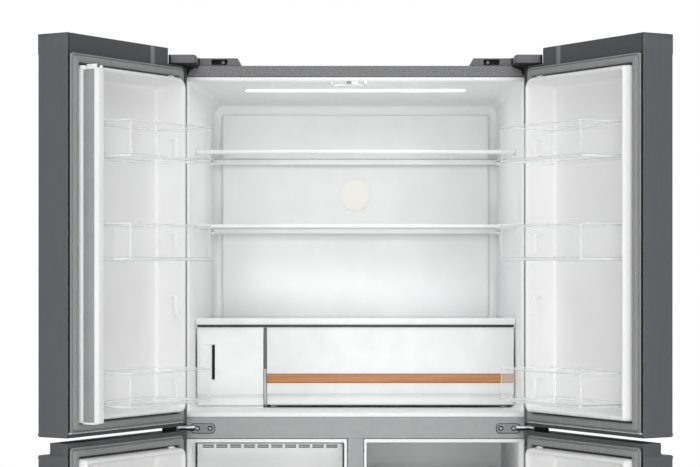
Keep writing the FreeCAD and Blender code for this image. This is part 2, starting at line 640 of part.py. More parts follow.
shelves, glasses = [], []
for label, top, thick in (
    ("one", "shelf_one", "shelf_thick"), ("two", "shelf_two", "shelf_thick"),
    ("three", "shelf_three", "shelf_three_thick"),
):
    wall_at = f"({wall_front}-cool_taper*{{}}/cool_deep)"
    spans = []
    for inset in ("glass_inset", "(glass_inset+glass_hold)"):
        ends = (f"shelf_front+{inset}", f"shelf_rear-{inset}")
        halves = [f"{wall_at.format('(' + end + ')')}-{inset}" for end in ends]
        spans.append((halves, ends))
    (wide, ends), (tight, tight_ends) = spans
    tall = (f"{top}-glass_drop-glass_thick", f"{top}-glass_drop")
    glass = wedge(f"glass_{label}", wide[0], wide[1], ends, tall, tall)
    through = (f"{top}-{thick}-1", f"{top}+1")
    slab = common(
        f"shelf_{label}_slab",
        box(f"shelf_{label}_block", both(mouth), ("shelf_front", "shelf_rear"), (f"{top}-{thick}", top)),
        room,
    )
    shelves.append(cut(
        f"shelf_{label}", slab, glass,
        wedge(f"shelf_{label}_through", tight[0], tight[1], tight_ends, through, through),
    ))
    glasses.append(glass)
together("shelf_frames", *shelves)
together("shelf_glasses", *glasses)

floor = "(rail_high+liner_wall)"
left_inner = "(crisper_split-crisper_gap/2)"
right_inner = "(crisper_split+crisper_gap/2)"
runs = [
    ("crisper_left+14", "crisper_left+28"), (f"{left_inner}-22", f"{left_inner}-8"),
    (f"{right_inner}+8", f"{right_inner}+22"), ("crisper_right-28", "crisper_right-14"),
]
together(
    "crisper_rails",
    *[box(f"crisper_run_{at}", run, ("crisper_front+30", "crisper_rear-10"), (floor, "crisper_low-slide_gap"))
      for at, run in enumerate(runs)],
    box("crisper_divider", ("crisper_split-divider_thick/2", "crisper_split+divider_thick/2"),
        ("crisper_front+30", "crisper_rear-10"), (floor, "shelf_three-shelf_three_thick")),
)


def drawer(name, x, body_x, y, z, wall, face, body_low, body_top):
    shell = fuse(
        name + "_shell",
        box(name + "_face", x, (y[0], f"{y[0]}+{face}"), z),
        box(name + "_body", body_x, (f"{y[0]}+{face}", y[1]), (body_low, body_top)),
    )
    hollow = box(
        name + "_hollow", (f"{body_x[0]}+{wall}", f"{body_x[1]}-{wall}"),
        (f"{y[0]}+{face}", f"{y[1]}-{wall}"), (f"{body_low}+{wall}", f"{z[1]}+1"),
    )
    return shell, hollow


shell, hollow = drawer(
    "crisper_left_box", ("crisper_left", left_inner), ("crisper_left+crisper_slim", left_inner),
    ("crisper_front", "crisper_rear"),
    ("crisper_lip", "crisper_high"), "crisper_wall", "crisper_face", "crisper_low", "crisper_high-12",
)
cut(
    "crisper_left", shell, hollow,
    box("pull_pocket", ("crisper_left+5", "crisper_left+5+pull_wide"),
        ("crisper_front-1", "crisper_front+pull_deep"), ("pull_low", "pull_high")),
)
shell, hollow = drawer(
    "crisper_right_box", (right_inner, "crisper_right"), (right_inner, "crisper_right-crisper_slim"),
    ("crisper_front", "crisper_rear"),
    ("crisper_lip", "crisper_high"), "crisper_wall", "crisper_face", "crisper_low", "crisper_high-12",
)
cut("crisper_right", shell, hollow)
box("crisper_wood_strip", (right_inner, "crisper_right"), ("crisper_front-wood_thick", "crisper_front"),
    ("wood_low", "wood_high"))

for label, side, low, high, rear in bays:
    x = ("-bay_outer", "-bay_inner") if side < 0 else ("bay_inner", "bay_outer")
    shell, hollow = drawer(
        label + "_box", x, x, ("bay_front", rear), (low, high), "bay_wall", "bay_face", low, f"{high}-8",
    )
    slots = []
    if label == "freezer_drawer_vented":
        for column in range(10):
            for row in (0, 1):
                start = f"-bay_outer+vent_margin+(vent_pitch-vent_wide)/2+{column}*vent_pitch"
                slots.append(box(
                    f"vent_{column}_{row}", (start, f"{start}+vent_wide"),
                    ("bay_front-1", "bay_front+bay_face+1"),
                    (f"{high}-20-{row}*10", f"{high}-20-{row}*10+vent_high"),
                ))
    cut(label, shell, hollow, *slots)

# Hinges, drawn on the left and mirrored.
pin = ("pin_in-cab_wide/2", "-pin_out")
arm = across("pin_in-arm_half", "pin_in+arm_half")
top_plate = ("cab_top", "cab_top+top_hinge_thick")
pair("top_hinges", fuse(
    "top_hinge_left",
    box("top_arm", arm, ("-pin_out", "cover_rear-6"), top_plate),
    rod("top_arm_end", "z", pin, top_plate, "arm_half"),
    box("top_foot", across("pin_in-arm_half", "cover_tail-20"), ("channel_deep", "cover_rear-6"), top_plate),
    rod("top_bush", "z", pin, (f"{notch_floor}+seal_gap", "cab_top"), "bush_radius"),
    rod("top_pin", "z", pin, (f"{notch_floor}-pin_bite", "cab_top"), "pin_radius"),
    rod("top_screw", "z", ("window_start+window_long/2-cab_wide/2", "(channel_deep+cover_rear)/2"),
        ("cab_top", "cab_top+top_hinge_thick+screw_head"), "screw_radius"),
))
cover_room = ("cab_top-1", "cab_top+cover_tall-cover_wall")
tail_room = ("cab_top-1", "cab_top+tail_tall-cover_wall")
cover_block = doc.addObject("PartDesign::Body", "cover_block_body")
lump = cover_block.newObject("PartDesign::AdditiveBox", "cover_block_box")
bind(lump, "Length", "cover_inner-cover_outer")
bind(lump, "Width", "cover_front+cover_rear")
bind(lump, "Height", "cover_tall")
doc.recompute()
rounds = []
for at, edge in enumerate(lump.Shape.Edges, 1):
    low, high = edge.BoundBox, lump.Shape.BoundBox
    upright = low.ZLength > 1 and abs(low.YMin - high.YMin) < 0.01
    if upright or low.ZMin > high.ZMax - 0.01:
        rounds.append(f"Edge{at}")
soft = cover_block.newObject("PartDesign::Fillet", "cover_block_round")
soft.Base = (lump, rounds)
bind(soft, "Radius", "cover_round")
bind(cover_block, "Placement.Base.x", "cover_outer-cab_wide/2")
bind(cover_block, "Placement.Base.y", "-cover_front")
bind(cover_block, "Placement.Base.z", "cab_top")
pair("hinge_covers", cut(
    "hinge_cover_left",
    fuse("cover_solid", cover_block,
         box("cover_tail_box", across("cover_inner-10", "cover_tail"), ("2", "cover_rear"),
             ("cab_top", "cab_top+tail_tall"))),
    box("cover_room", across("cover_outer+cover_wall", "cover_inner-cover_wall"),
        ("-cover_front+cover_wall", "cover_rear-cover_wall"), cover_room),
    box("tail_room", across("cover_inner-12", "cover_tail-cover_wall"),
        ("2+cover_wall", "cover_rear-cover_wall"), tail_room),
    box("cover_window", across("window_start", "window_start+window_long"), ("0", "channel_deep"),
        ("cab_top+cover_wall", "cab_top+tail_tall-cover_wall*2")),
))
mid_arm = ("mid_hinge_low", "mid_hinge_low+mid_hinge_thick")
pair("mid_hinges", fuse(
    "mid_hinge_left",
    box("mid_plate", across("plate_start", "plate_start+plate_long"), ("-plate_thick", "0"),
        ("rail_low+plate_rise", "rail_low+plate_rise+plate_tall")),
    box("mid_bridge", across("pin_in-arm_half", "plate_start+plate_long/4"), ("-plate_thick*4", "0"),
        mid_arm),
    box("mid_arm", arm, ("-pin_out", "0"), mid_arm),
    rod("mid_arm_end", "z", pin, mid_arm, "arm_half"),
    rod("mid_pin", "z", pin, ("lower_top-pin_bite", "upper_low+pin_bite"), "pin_radius"),
    rod("mid_bush", "z", pin, ("lower_top+seal_gap", "upper_low-seal_gap"), "bush_radius"),
    *[rod(f"mid_{place}", "y", (f"{place}-cab_wide/2", "rail_low+plate_rise+plate_tall/2"),
          ("-plate_thick-screw_head", "0"), "screw_radius") for place in ("screw_one", "screw_two")],
))
low_plate = ("cab_low-low_hinge_thick", "cab_low")
pair("bottom_hinges", fuse(
    "bottom_hinge_left",
    box("low_arm", arm, ("-pin_out", "low_plate_front+low_plate_deep"), low_plate),
    box("low_foot", across("pin_in-arm_half", "low_plate_long"),
        ("low_plate_front", "low_plate_front+low_plate_deep"), low_plate),
    rod("low_arm_end", "z", pin, low_plate, "arm_half"),
    rod("low_bush", "z", pin, ("cab_low", "lower_low-seal_gap"), "bush_radius"),
    rod("low_pin", "z", pin, ("cab_low", "lower_low+pin_bite"), "pin_radius"),
))

# Base and machine space.
toe_slots = []
for column in range(6):
    for row in range(2):
        start = f"-toe_half+toe_margin+toe_bar/2+{column}*toe_pitch"
        toe_slots.append(box(
            f"toe_slot_{column}_{row}", (start, f"{start}+toe_pitch-toe_bar"),
            ("toe_front-1", "toe_front+toe_thick+1"),
            (f"toe_low+7+{row}*10", f"toe_low+12+{row}*10"),
        ))
cut(
    "toe_grille",
    box("toe_panel", both("toe_half"), ("toe_front", "toe_front+toe_thick"), ("toe_low", "cab_low")),
    *toe_slots,
)
foot = revolve("foot_left", [
    (0, 0), ("foot_radius", 0), ("foot_radius", "foot_pad-3"), ("foot_radius-3", "foot_pad"),
    ("foot_stud", "foot_pad"), ("foot_stud", "cab_low"), (0, "cab_low"),
])
bind(foot, "Placement.Base.x", "-foot_side")
bind(foot, "Placement.Base.y", "foot_front")
pair("levelling_feet", foot)
wheel = revolve("roller_wheel", [
    ("axle_radius+run_gap", "roller_wide/2"), ("roller_radius-2", "roller_wide/2"),
    ("roller_radius", "roller_wide/2+2"), ("roller_radius", "roller_wide*1.5-2"),
    ("roller_radius-2", "roller_wide*1.5"), ("axle_radius+run_gap", "roller_wide*1.5"),
])
turn(wheel, (0, 1, 0), 90)
bind(wheel, "Placement.Base.x", "-roller_side-roller_wide")
bind(wheel, "Placement.Base.y", "roller_rear")
bind(wheel, "Placement.Base.z", "roller_radius")
pair("rear_rollers", wheel)

shell_low = f"({pan_top}+grommet_tall)"
shell = revolve("compressor_shell", [
    (0, 0), ("shell_radius-18", 0), ("shell_radius", 22), ("shell_radius", "shell_tall-shell_round"),
    ("shell_radius-shell_round*0.3", "shell_tall-shell_round*0.3"),
    ("shell_radius-shell_round", "shell_tall"), (0, "shell_tall"),
])
bind(shell, "Placement.Base.x", "shell_side")
bind(shell, "Placement.Base.y", "shell_rear")
bind(shell, "Placement.Base.z", shell_low)
grommets = [
    rod(f"grommet_{x + 1}_{y + 1}", "z", (f"shell_side+{x}*85", f"shell_rear+{y}*50"),
        (pan_top, shell_low), "grommet_radius")
    for x in (-1, 1) for y in (-1, 1)
]
fuse(
    "compressor", shell, *grommets,
    box("shell_plate", ("shell_side-100", "shell_side+100"), ("shell_rear-62", "shell_rear+62"),
        (shell_low, f"{shell_low}+3")),
    box("shell_box", ("shell_side-shell_radius-22", "shell_side-shell_radius+6"),
        ("shell_rear-30", "shell_rear+30"), (f"{shell_low}+40", f"{shell_low}+105")),
)


def coil(name, left, right, y, low, rows, plate_y, plate_z):
    parts = []
    for at, x in enumerate((left, right)):
        edge = (f"{x}-fin_thick", x) if at == 0 else (x, f"{x}+fin_thick")
        parts.append(box(f"{name}_plate_{at}", edge, plate_y, plate_z))
    for row in range(rows):
        high = f"{low}+{row}*coil_pitch"
        parts.append(rod(f"{name}_tube_{row}", "x", (y, high), (f"{left}-10", f"{right}+10"), "tube_radius"))
        if row + 1 < rows:
            bend = doc.addObject("Part::Torus", f"{name}_bend_{row}")
            right_end = row % 2 == 0
            # The ring lies in the plane of the coil; half of it joins two tubes.
            bend.Placement = FreeCAD.Placement(
                FreeCAD.Vector(), FreeCAD.Rotation(FreeCAD.Vector(1, 0, 0), 90).multiply(
                    FreeCAD.Rotation(FreeCAD.Vector(0, 0, 1), -90 if right_end else 90)))
            bind(bend, "Radius1", "coil_pitch/2")
            bind(bend, "Radius2", "tube_radius")
            bend.Angle3 = 180
            bind(bend, "Placement.Base.x", f"{right}+10" if right_end else f"{left}-10")
            bind(bend, "Placement.Base.y", y)
            bind(bend, "Placement.Base.z", f"{high}+coil_pitch/2")
            parts.append(bend)
    return fuse(name, *parts)


coil("condenser_coil", "warm_left", "warm_right", "warm_rear", "warm_low", 6,
     ("warm_rear-25", "warm_rear+25"), (pan_top, "warm_low+6*coil_pitch"))
coil("evaporator_coil", "-cold_half", "cold_half", "cold_rear", "cold_low", 6,
     ("freeze_deep+liner_wall", "chamber_rear"), ("chamber_low", "cold_low+6*coil_pitch"))

cold_motor = fuse(
    "cold_motor",
    rod("cold_motor_body", "y", (0, "cold_fan_high"),
        ("chamber_rear-motor_deep", "chamber_rear"), "motor_radius"),
    rod("cold_shaft", "y", (0, "cold_fan_high"),
        ("chamber_rear-motor_deep-fan_deep-3", "chamber_rear-motor_deep"), "shaft_radius"),
)
warm_motor = fuse(
    "warm_motor",
    rod("warm_motor_body", "x", ("warm_rear", "warm_fan_high"),
        ("warm_fan_side", "warm_fan_side+motor_deep"), "motor_radius"),
    rod("warm_shaft", "x", ("warm_rear", "warm_fan_high"),
        ("warm_fan_side-fan_deep-3", "warm_fan_side"), "shaft_radius"),
    box("warm_stand", ("warm_fan_side+4", "warm_fan_side+motor_deep-4"), ("warm_rear-12", "warm_rear+12"),
        (pan_top, "warm_fan_high")),
)
together("fan_motors", cold_motor, warm_motor)


def fan(name, axis, angle, x, y, z):
    hub = rod(name + "_hub", "z", (0, 0), (0, "fan_deep"), "fan_hub")
    blades = []
    for at in range(5):
        blade = doc.addObject("Part::Box", f"{name}_blade_{at}")
        pitch = FreeCAD.Rotation(FreeCAD.Vector(1, 0, 0), number("blade_pitch"))
        blade.Placement = FreeCAD.Placement(
            FreeCAD.Vector(), FreeCAD.Rotation(FreeCAD.Vector(0, 0, 1), 72 * at).multiply(pitch))
        bind(blade, "Length", "fan_reach")
        bind(blade, "Width", "fan_deep*0.95")
        bind(blade, "Height", "blade_thick")
        bind(blade, "Placement.Base.z", "fan_deep*0.18")
        blades.append(blade)
    wheel = cut(
        name, fuse(name + "_wheel", hub, *blades),
        rod(name + "_bore", "z", (0, 0), (-1, "fan_deep+1"), "shaft_radius+run_gap"),
    )
    turn(wheel, axis, angle)
    for letter, text in (("x", x), ("y", y), ("z", z)):
        bind(wheel, f"Placement.Base.{letter}", text)


fan("evaporator_fan", (-1, 0, 0), 90, 0, "chamber_rear-motor_deep-fan_deep-1.5", "cold_fan_high")
fan("condenser_fan", (0, 1, 0), 90, "warm_fan_side-fan_deep-1.5", "warm_rear", "warm_fan_high")

louvres = []
for column in range(5):
    for row in range(9):
        start = f"-310+{column}*120"
        louvres.append(box(
            f"louvre_{column}_{row}", (start, f"{start}+louvre_wide"), ("cab_deep-sheet-1", "cab_deep+1"),
            (f"80+{row}*louvre_pitch", f"80+{row}*louvre_pitch+louvre_high"),
        ))
gland_at = ("gland_side", "gland_high")
cut(
    "machine_cover",
    fuse(
        "machine_panel",
        box("machine_plate", both(inside), ("cab_deep-sheet", "cab_deep"), (pan_top, "machine_top")),
        rod("gland", "y", gland_at, ("cab_deep-sheet", "cab_deep+gland_tall"), "gland_radius"),
    ),
    rod("gland_hole", "y", gland_at, ("cab_deep-sheet-1", "cab_deep+gland_tall+1"), "gland_bore"),
    *louvres,
)


# Doors, drawn closed on the left, swung open about the pin and mirrored for the right.
def hang(item):
    across_pin, deep_pin = "(pin_in-cab_wide/2)", "(-pin_out)"
    turn(item, (0, 0, -1), 90)
    bind(item, "Placement.Rotation.Angle", "door_angle")
    bind(item, "Placement.Base.x",
         f"{across_pin}-{across_pin}*cos(door_angle)-{deep_pin}*sin(door_angle)")
    bind(item, "Placement.Base.y",
         f"{deep_pin}+{across_pin}*sin(door_angle)-{deep_pin}*cos(door_angle)")
    return item


def boss(name, low, high):
    return box(name, across("pin_in-arm_half-4", "pin_in+boss_half"),
               ("-pin_out-boss_half", "-pin_out+boss_half"), (low, high))


def bore(name, low, high):
    return rod(name, "z", pin, (low, high), "pin_radius+run_gap")


def shut(name, along, y, z):
    return box(name, across(*along), y, z)


full = ("sheet", f"{door_wide}-sheet")
hollow_y = (f"{door_out}+sheet", door_in)


def door_shell(name, low, top, notch, grip):
    skin_tools = [shut(name + "_core", full, (hollow_y[0], "1"), (f"{low}-1", f"{top}+1"))]
    if notch:
        skin_tools.append(notch)
    if grip:
        skin_tools.append(grip)
    return hang(cut(
        name + "_skin",
        shut(name + "_whole", ("0", door_wide), (door_out, door_in), (low, top)), *skin_tools,
    ))


def door_core(name, bottom, top, lumps, bosses, dyke_end, seal_low, seal_high, lugs):
    dyke_low = f"({seal_low}+gasket_wide+dyke_gap)"
    dyke_high = f"({seal_high}-gasket_wide-dyke_gap)"
    tray = (f"{dyke_start}+dyke_wide", f"{dyke_end}-dyke_wide")
    tray_z = (f"{dyke_low}+dyke_wide", f"{dyke_high}-dyke_wide")
    wide_tray = (f"{tray[0]}-liner_wall", f"{tray[1]}+liner_wall")
    wide_tray_z = (f"{tray_z[0]}-liner_wall", f"{tray_z[1]}+liner_wall")
    tub = shut(name + "_tub", wide_tray, (f"{tray_back}-liner_wall", door_in), wide_tray_z)
    rib_whole = shut(name + "_rib_whole", (f"{dyke_start}+liner_wall", f"{dyke_end}-liner_wall"),
                     (f"{door_in}-liner_wall", "dyke_rise-liner_wall"),
                     (f"{dyke_low}+liner_wall", f"{dyke_high}-liner_wall"))
    rib_hole = shut(name + "_rib_hole", wide_tray, (f"{tray_back}-1", "dyke_rise+1"), wide_tray_z)
    rib = cut(name + "_rib", rib_whole, rib_hole)
    body = fuse(
        name + "_liner_body",
        shut(name + "_panel", full, (f"{door_in}-liner_wall", door_in), (bottom, top)),
        shut(name + "_dyke", (dyke_start, dyke_end), (f"{door_in}-liner_wall", "dyke_rise"),
             (dyke_low, dyke_high)),
        tub,
    )
    hole = shut(name + "_tray", tray, (tray_back, "dyke_rise+1"), tray_z)
    liner = cut(name + "_liner_shell", body, hole, rib)
    extra = []
    for at, low in enumerate(lugs):
        lug_y = (tray_back, "-gasket_thick+4")
        lug_z = (f"{low}-lug_tall", low)
        extra.append(shut(f"{name}_lug_a{at}", (tray[0], "bin_hinge+6"), lug_y, lug_z))
        extra.append(shut(f"{name}_lug_b{at}", ("bin_free-6", tray[1]), lug_y, lug_z))
    block = fuse(
        name + "_foam_block",
        shut(name + "_foam_box", full, (hollow_y[0], f"{door_in}-liner_wall"), (bottom, top)), *lumps,
    )
    foam = fuse(name + "_foam", cut(name + "_foam_main", block, tub, *bosses), rib)
    return liner, extra, foam


def seal(name, low, high):
    along = ("gasket_side", seal_free)
    margin = "((gasket_wide-gasket_bead)/2)"
    bead = (f"gasket_side+{margin}", f"{seal_free}-{margin}")
    return hang(fuse(
        name,
        frame(name + "_base", along, (door_in, f"{door_in}+gasket_base"), (low, high), "gasket_wide"),
        frame(name + "_bead", bead, (f"{door_in}+gasket_base", "-seal_gap"),
              (f"{low}+{margin}", f"{high}-{margin}"), "gasket_bead"),
    ))


notch = shut("upper_notch", ("-1", "notch_wide"), (f"{door_out}+notch_skin", "1"),
             (notch_floor, "upper_top+1"))
mirror("upper_right_skin", door_shell("upper_left", "upper_low", "upper_top", notch, None))
cap_low = "(upper_top-cap_tall)"
top_lump = shut("upper_top_lump", ("notch_wide+cap_wall", f"{door_wide}-cap_wall"),
                (f"{door_out}+cap_wall", f"{door_in}-cap_wall"), (cap_low, "upper_top-cap_wall"))
top_boss = boss("upper_top_boss", f"{cap_low}-boss_deep", cap_low)
top_cap = cut(
    "upper_top_cap",
    fuse("upper_top_block", shut("upper_top_plate", full, hollow_y, (cap_low, "upper_top")), top_boss),
    notch, top_lump, bore("upper_top_bore", f"{notch_floor}-pin_bite-3", "upper_top"),
)
low_boss = boss("upper_low_boss", "upper_low+cap_short", "upper_low+cap_short+boss_deep")
low_cap = cut(
    "upper_low_cap",
    fuse("upper_low_block", low_boss,
         shut("upper_low_plate", full, hollow_y, ("upper_low", "upper_low+cap_short"))),
    bore("upper_low_bore", "upper_low-1", "upper_low+pin_bite+3"),
)
mirror("upper_right_end_caps", hang(together("upper_left_end_caps", top_cap, low_cap)))

bins = (("bin_one", "bin_one_tall"), ("bin_two", "bin_two_tall"), ("bin_three", "bin_three_tall"))
ends = {"left": "(mullion_face-mullion_thick-dyke_gap)", "right": f"({seal_free}-gasket_wide-5)"}
for side in ("left", "right"):
    liner, extra, foam = door_core(
        f"upper_{side}_drawn", "upper_low+cap_short", cap_low, [top_lump], [top_boss, low_boss], ends[side],
        "upper_seal_low", "upper_seal_high", [low for low, tall in bins],
    )
    if side == "left":
        ear = (f"{pivot_along}-ear_wide", f"{seal_free}-gasket_wide-gasket_clear")
        for at, (low, high) in enumerate((
            ("mullion_low-mullion_gap-pivot_bite", "mullion_low-mullion_gap"),
            ("mullion_high+mullion_gap", "mullion_high+mullion_gap+pivot_bite"),
        )):
            extra.append(shut(f"pivot_ear_{at}", ear, (door_in, f"{pivot_deep}+ear_deep"), (low, high)))
        holes = rod("pivot_holes", "z", (f"{pivot_along}-cab_wide/2", pivot_deep),
                    ("mullion_low-pivot_bite-2", "mullion_high+pivot_bite+2"), "pivot_radius+run_gap")
        hang(cut("upper_left_liner", fuse("upper_left_lined", liner, *extra), holes))
        hang(foam).Label = "upper_left_foam"
    else:
        mirror("upper_right_liner", hang(fuse("upper_right_lined", liner, *extra)))
        mirror("upper_right_foam", hang(foam))
mirror("upper_right_gasket", seal("upper_left_gasket", "upper_seal_low", "upper_seal_high"))
boxes = []
for low, tall in bins:
    outer = shut(low + "_outer", ("bin_hinge", "bin_free"), (tray_back, "bin_reach"), (low, f"{low}+{tall}"))
    boxes.append(cut(low + "_tub", outer, shut(
        low + "_inner", ("bin_hinge+bin_wall", "bin_free-bin_wall"),
        (f"{tray_back}+bin_wall", "bin_reach-bin_wall"), (f"{low}+bin_wall", f"{low}+{tall}+1"))))
mirror("upper_right_bins", hang(together("upper_left_bins", *boxes)))

grip = shut("lower_grip", ("-1", f"{door_wide}+1"), (f"{door_out}-1", f"{door_out}+grip_deep"),
            ("lower_top-grip_drop", "lower_top+1"))
mirror("lower_right_skin", door_shell("lower_left", "lower_low", "lower_top", None, grip))
cap_low = "(lower_top-grip_drop-cap_short)"
top_cap = cut(
    "lower_top_cap", shut("lower_top_plate", full, hollow_y, (cap_low, "lower_top")), grip,
    bore("lower_top_bore", "lower_top-pin_bite-3", "lower_top+1"),
)
cap_high = "(lower_low+cap_tall)"
low_lump = shut("lower_low_lump", ("boss_half*3", f"{door_wide}-cap_wall"),
                (f"{door_out}+cap_wall", f"{door_in}-cap_wall"), ("lower_low+cap_wall", cap_high))
low_cap = cut(
    "lower_low_cap", shut("lower_low_plate", full, hollow_y, ("lower_low", cap_high)), low_lump,
    bore("lower_low_bore", "lower_low-1", "lower_low+pin_bite+3"),
)
mirror("lower_right_end_caps", hang(together("lower_left_end_caps", top_cap, low_cap)))
liner, extra, foam = door_core(
    "lower_drawn", cap_high, cap_low, [low_lump], [], f"({seal_free}-gasket_wide-dyke_gap)",
    "lower_seal_low", "lower_seal_high", [],
)
hang(liner).Label = "lower_left_liner"
hang(foam).Label = "lower_left_foam"
mirror("lower_right_liner", liner)
mirror("lower_right_foam", foam)
mirror("lower_right_gasket", seal("lower_left_gasket", "lower_seal_low", "lower_seal_high"))

# Flip mullion on the left door, folded, and the guide on the ceiling that turns it.
bar = ("mullion_face-mullion_thick", "mullion_face")
pivot = (f"{pivot_along}-cab_wide/2", pivot_deep)
strip_y = ("mullion_lift+(mullion_wide-strip_wide)/2", "mullion_lift+(mullion_wide+strip_wide)/2")
strip_z = ("mullion_low+strip_margin", "mullion_high-strip_margin")
strip = shut("mullion_strip_sheet", ("mullion_face-strip_thick", "mullion_face"), strip_y, strip_z)
hang(together("mullion_strip", strip))
hang(cut("mullion_body", fuse(
    "mullion_solid",
    shut("mullion_bar", bar, ("mullion_lift", "mullion_lift+mullion_wide"), ("mullion_low", "mullion_high")),
    shut("mullion_foot_block", bar, ("mullion_lift+8", "mullion_lift+mullion_wide-6"),
         ("mullion_low-mullion_foot", "mullion_low")),
    rod("mullion_knuckle", "z", pivot, ("mullion_low", "mullion_high"), f"mullion_face-{pivot_along}"),
    rod("mullion_pivot", "z", pivot, ("mullion_low-pivot_bite", "mullion_high+pivot_bite"), "pivot_radius"),
    rod("mullion_guide_pin", "z", ("mullion_face-guide_pin_in-cab_wide/2", "guide_pin_at"),
        ("mullion_high", "mullion_high+guide_pin_tall"), "guide_pin_radius"),
), strip))

track = f"(sqrt((mullion_face-guide_pin_in-{pivot_along})^2+(guide_pin_at-{pivot_deep})^2))"
track_out = f"({track}+guide_pin_radius+guide_room)"
track_in = f"({track}-guide_pin_radius-guide_room)"
guide_x = (f"{pivot[0]}-guide_pin_in-guide_pin_radius-guide_room", f"{pivot[0]}+{track_out}")
guide_z = ("guide_low", "cab_top")
island = common(
    "guide_island",
    rod("guide_disc", "z", pivot, guide_z, track_in),
    box("guide_island_box", (f"{pivot[0]}+guide_pin_radius+guide_wall", f"{guide_x[1]}+1"),
        ("guide_front+2", f"{pivot_deep}+{track_in}"), guide_z),
)
guide = fuse("guide_solid", cut(
    "guide_rim",
    box("guide_block", (f"{guide_x[0]}-guide_wall", f"{guide_x[1]}+guide_wall"),
        ("guide_front", f"{pivot_deep}+{track_out}+guide_wall"), guide_z),
    box("guide_room", guide_x, ("-1", f"{pivot_deep}+{track_out}"), ("guide_low-1", "cab_top+1")),
    box("guide_dyke_room", (f"{guide_x[0]}-guide_wall-1", guide_x[0]), ("-1", "dyke_rise+guide_room"),
        ("guide_low-1", "cab_top+1")),
), box("guide_roof", (f"{guide_x[0]}-guide_wall", f"{guide_x[1]}+guide_wall"),
       ("guide_front", f"{pivot_deep}+{track_out}+guide_wall"),
       ("mullion_high+guide_pin_tall+2", "cab_top")), island)
common("mullion_guide", guide, room)

doc.recompute()
nodes = """outer_case back_panel base_pan insulation fridge_liner freezer_liners cross_rail center_post
duct_cover ceiling_lamp mullion_guide shelf_frames shelf_glasses crisper_rails top_hinges hinge_covers
mid_hinges bottom_hinges toe_grille compressor condenser_coil machine_cover evaporator_coil fan_motors
levelling_feet evaporator_fan condenser_fan rear_rollers crisper_left crisper_right crisper_wood_strip
upper_left_skin upper_left_end_caps upper_left_foam upper_left_liner upper_left_gasket upper_left_bins
upper_right_skin upper_right_end_caps upper_right_foam upper_right_liner upper_right_gasket
upper_right_bins lower_left_skin lower_left_end_caps lower_left_foam lower_left_liner lower_left_gasket
lower_right_skin lower_right_end_caps lower_right_foam lower_right_liner lower_right_gasket
mullion_body mullion_strip""".split() + [label for label, side, low, high, rear in bays]
os.makedirs("parts", exist_ok=True)
for item in doc.Objects:
    if "Invalid" in item.State or "Error" in item.State:
        raise RuntimeError(f"{item.Label} did not compute: {item.State}")
for label in nodes:
    item = doc.getObjectsByLabel(label)[0]
    shape = item.Shape
    if shape.isNull() or not shape.isValid() or not shape.Solids:
        raise RuntimeError(f"{label} has no good solid")
    shape.exportStep(f"parts/{label}.step")
    spread = shape.BoundBox
    size = f"{spread.XLength:.1f} x {spread.YLength:.1f} x {spread.ZLength:.1f}"
    print(f"{label}: {len(shape.Solids)} solids, {size}")
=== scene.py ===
import bmesh
import bpy
import json
import math
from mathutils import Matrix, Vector


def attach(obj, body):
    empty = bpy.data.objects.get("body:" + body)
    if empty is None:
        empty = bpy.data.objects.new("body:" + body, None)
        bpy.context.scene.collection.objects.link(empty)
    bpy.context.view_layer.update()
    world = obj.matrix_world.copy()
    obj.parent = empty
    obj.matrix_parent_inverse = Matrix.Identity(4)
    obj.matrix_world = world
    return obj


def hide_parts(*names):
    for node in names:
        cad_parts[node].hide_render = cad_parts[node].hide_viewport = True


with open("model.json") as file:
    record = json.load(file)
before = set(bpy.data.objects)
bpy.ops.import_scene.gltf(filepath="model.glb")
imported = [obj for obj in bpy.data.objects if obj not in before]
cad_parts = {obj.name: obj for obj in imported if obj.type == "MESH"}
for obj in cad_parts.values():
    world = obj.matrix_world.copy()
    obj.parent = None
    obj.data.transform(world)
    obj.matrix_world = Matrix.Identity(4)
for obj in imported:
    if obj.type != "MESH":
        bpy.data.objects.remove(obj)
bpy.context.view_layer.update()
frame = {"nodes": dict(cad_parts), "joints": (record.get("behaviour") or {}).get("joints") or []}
nodes = frame["nodes"]
joints = {joint["name"]: joint for joint in frame["joints"]}
mm = 0.001  # every size below is in millimetres
sharpFrom = 32  # degrees between faces that keep a crisp edge
weldWithin = 0.00001  # metres between points that become one
flatTurn = 0.35  # radians: edges flatter than this are not rounded
print("frame loaded:", len(nodes), "nodes")


# Shapes: each is a list of points and a list of faces, in millimetres.
def spans(box):  # low and high corner to one pair for each of x, y, z
    return tuple(zip(*box))


def shrink(pair, low, high=None):
    return pair[0] + low, pair[1] - (low if high is None else high)


def moved(start, reach):  # offsets from a start to places
    return tuple(start + at for at in reach)


def across(axis, at, a, b):  # a point in the plane across an axis
    return {"x": (at, a, b), "y": (a, at, b), "z": (a, b, at)}[axis]


def arc(centre, radius, start, end, steps=4):
    turns = [math.radians(start + (end - start) * i / steps) for i in range(steps + 1)]
    return [(centre[0] + radius * math.cos(turn), centre[1] + radius * math.sin(turn)) for turn in turns]


def ring(axis, at, first, second, radius, steps=5):  # rounded rectangle across an axis
    most = min(first[1] - first[0], second[1] - second[0]) / 2.01  # corners stay apart
    radii = [min(r, most) for r in (radius if isinstance(radius, tuple) else (radius,) * 4)]
    corners = ((first[1], second[1], -1, -1), (first[0], second[1], 1, -1), (first[0], second[0], 1, 1),
               (first[1], second[0], -1, 1))
    points = []
    for quarter, (a, b, wayA, wayB) in enumerate(corners):
        r = radii[quarter]
        points += arc((a + wayA * r, b + wayB * r), r, 90 * quarter, 90 * quarter + 90, steps)
    return [across(axis, at, a, b) for a, b in points]


def stack(axis, first, second, rows, steps=5):  # rings from rows of place, inset and corner radius
    return [ring(axis, at, shrink(first, inset), shrink(second, inset), r, steps) for at, inset, r in rows]


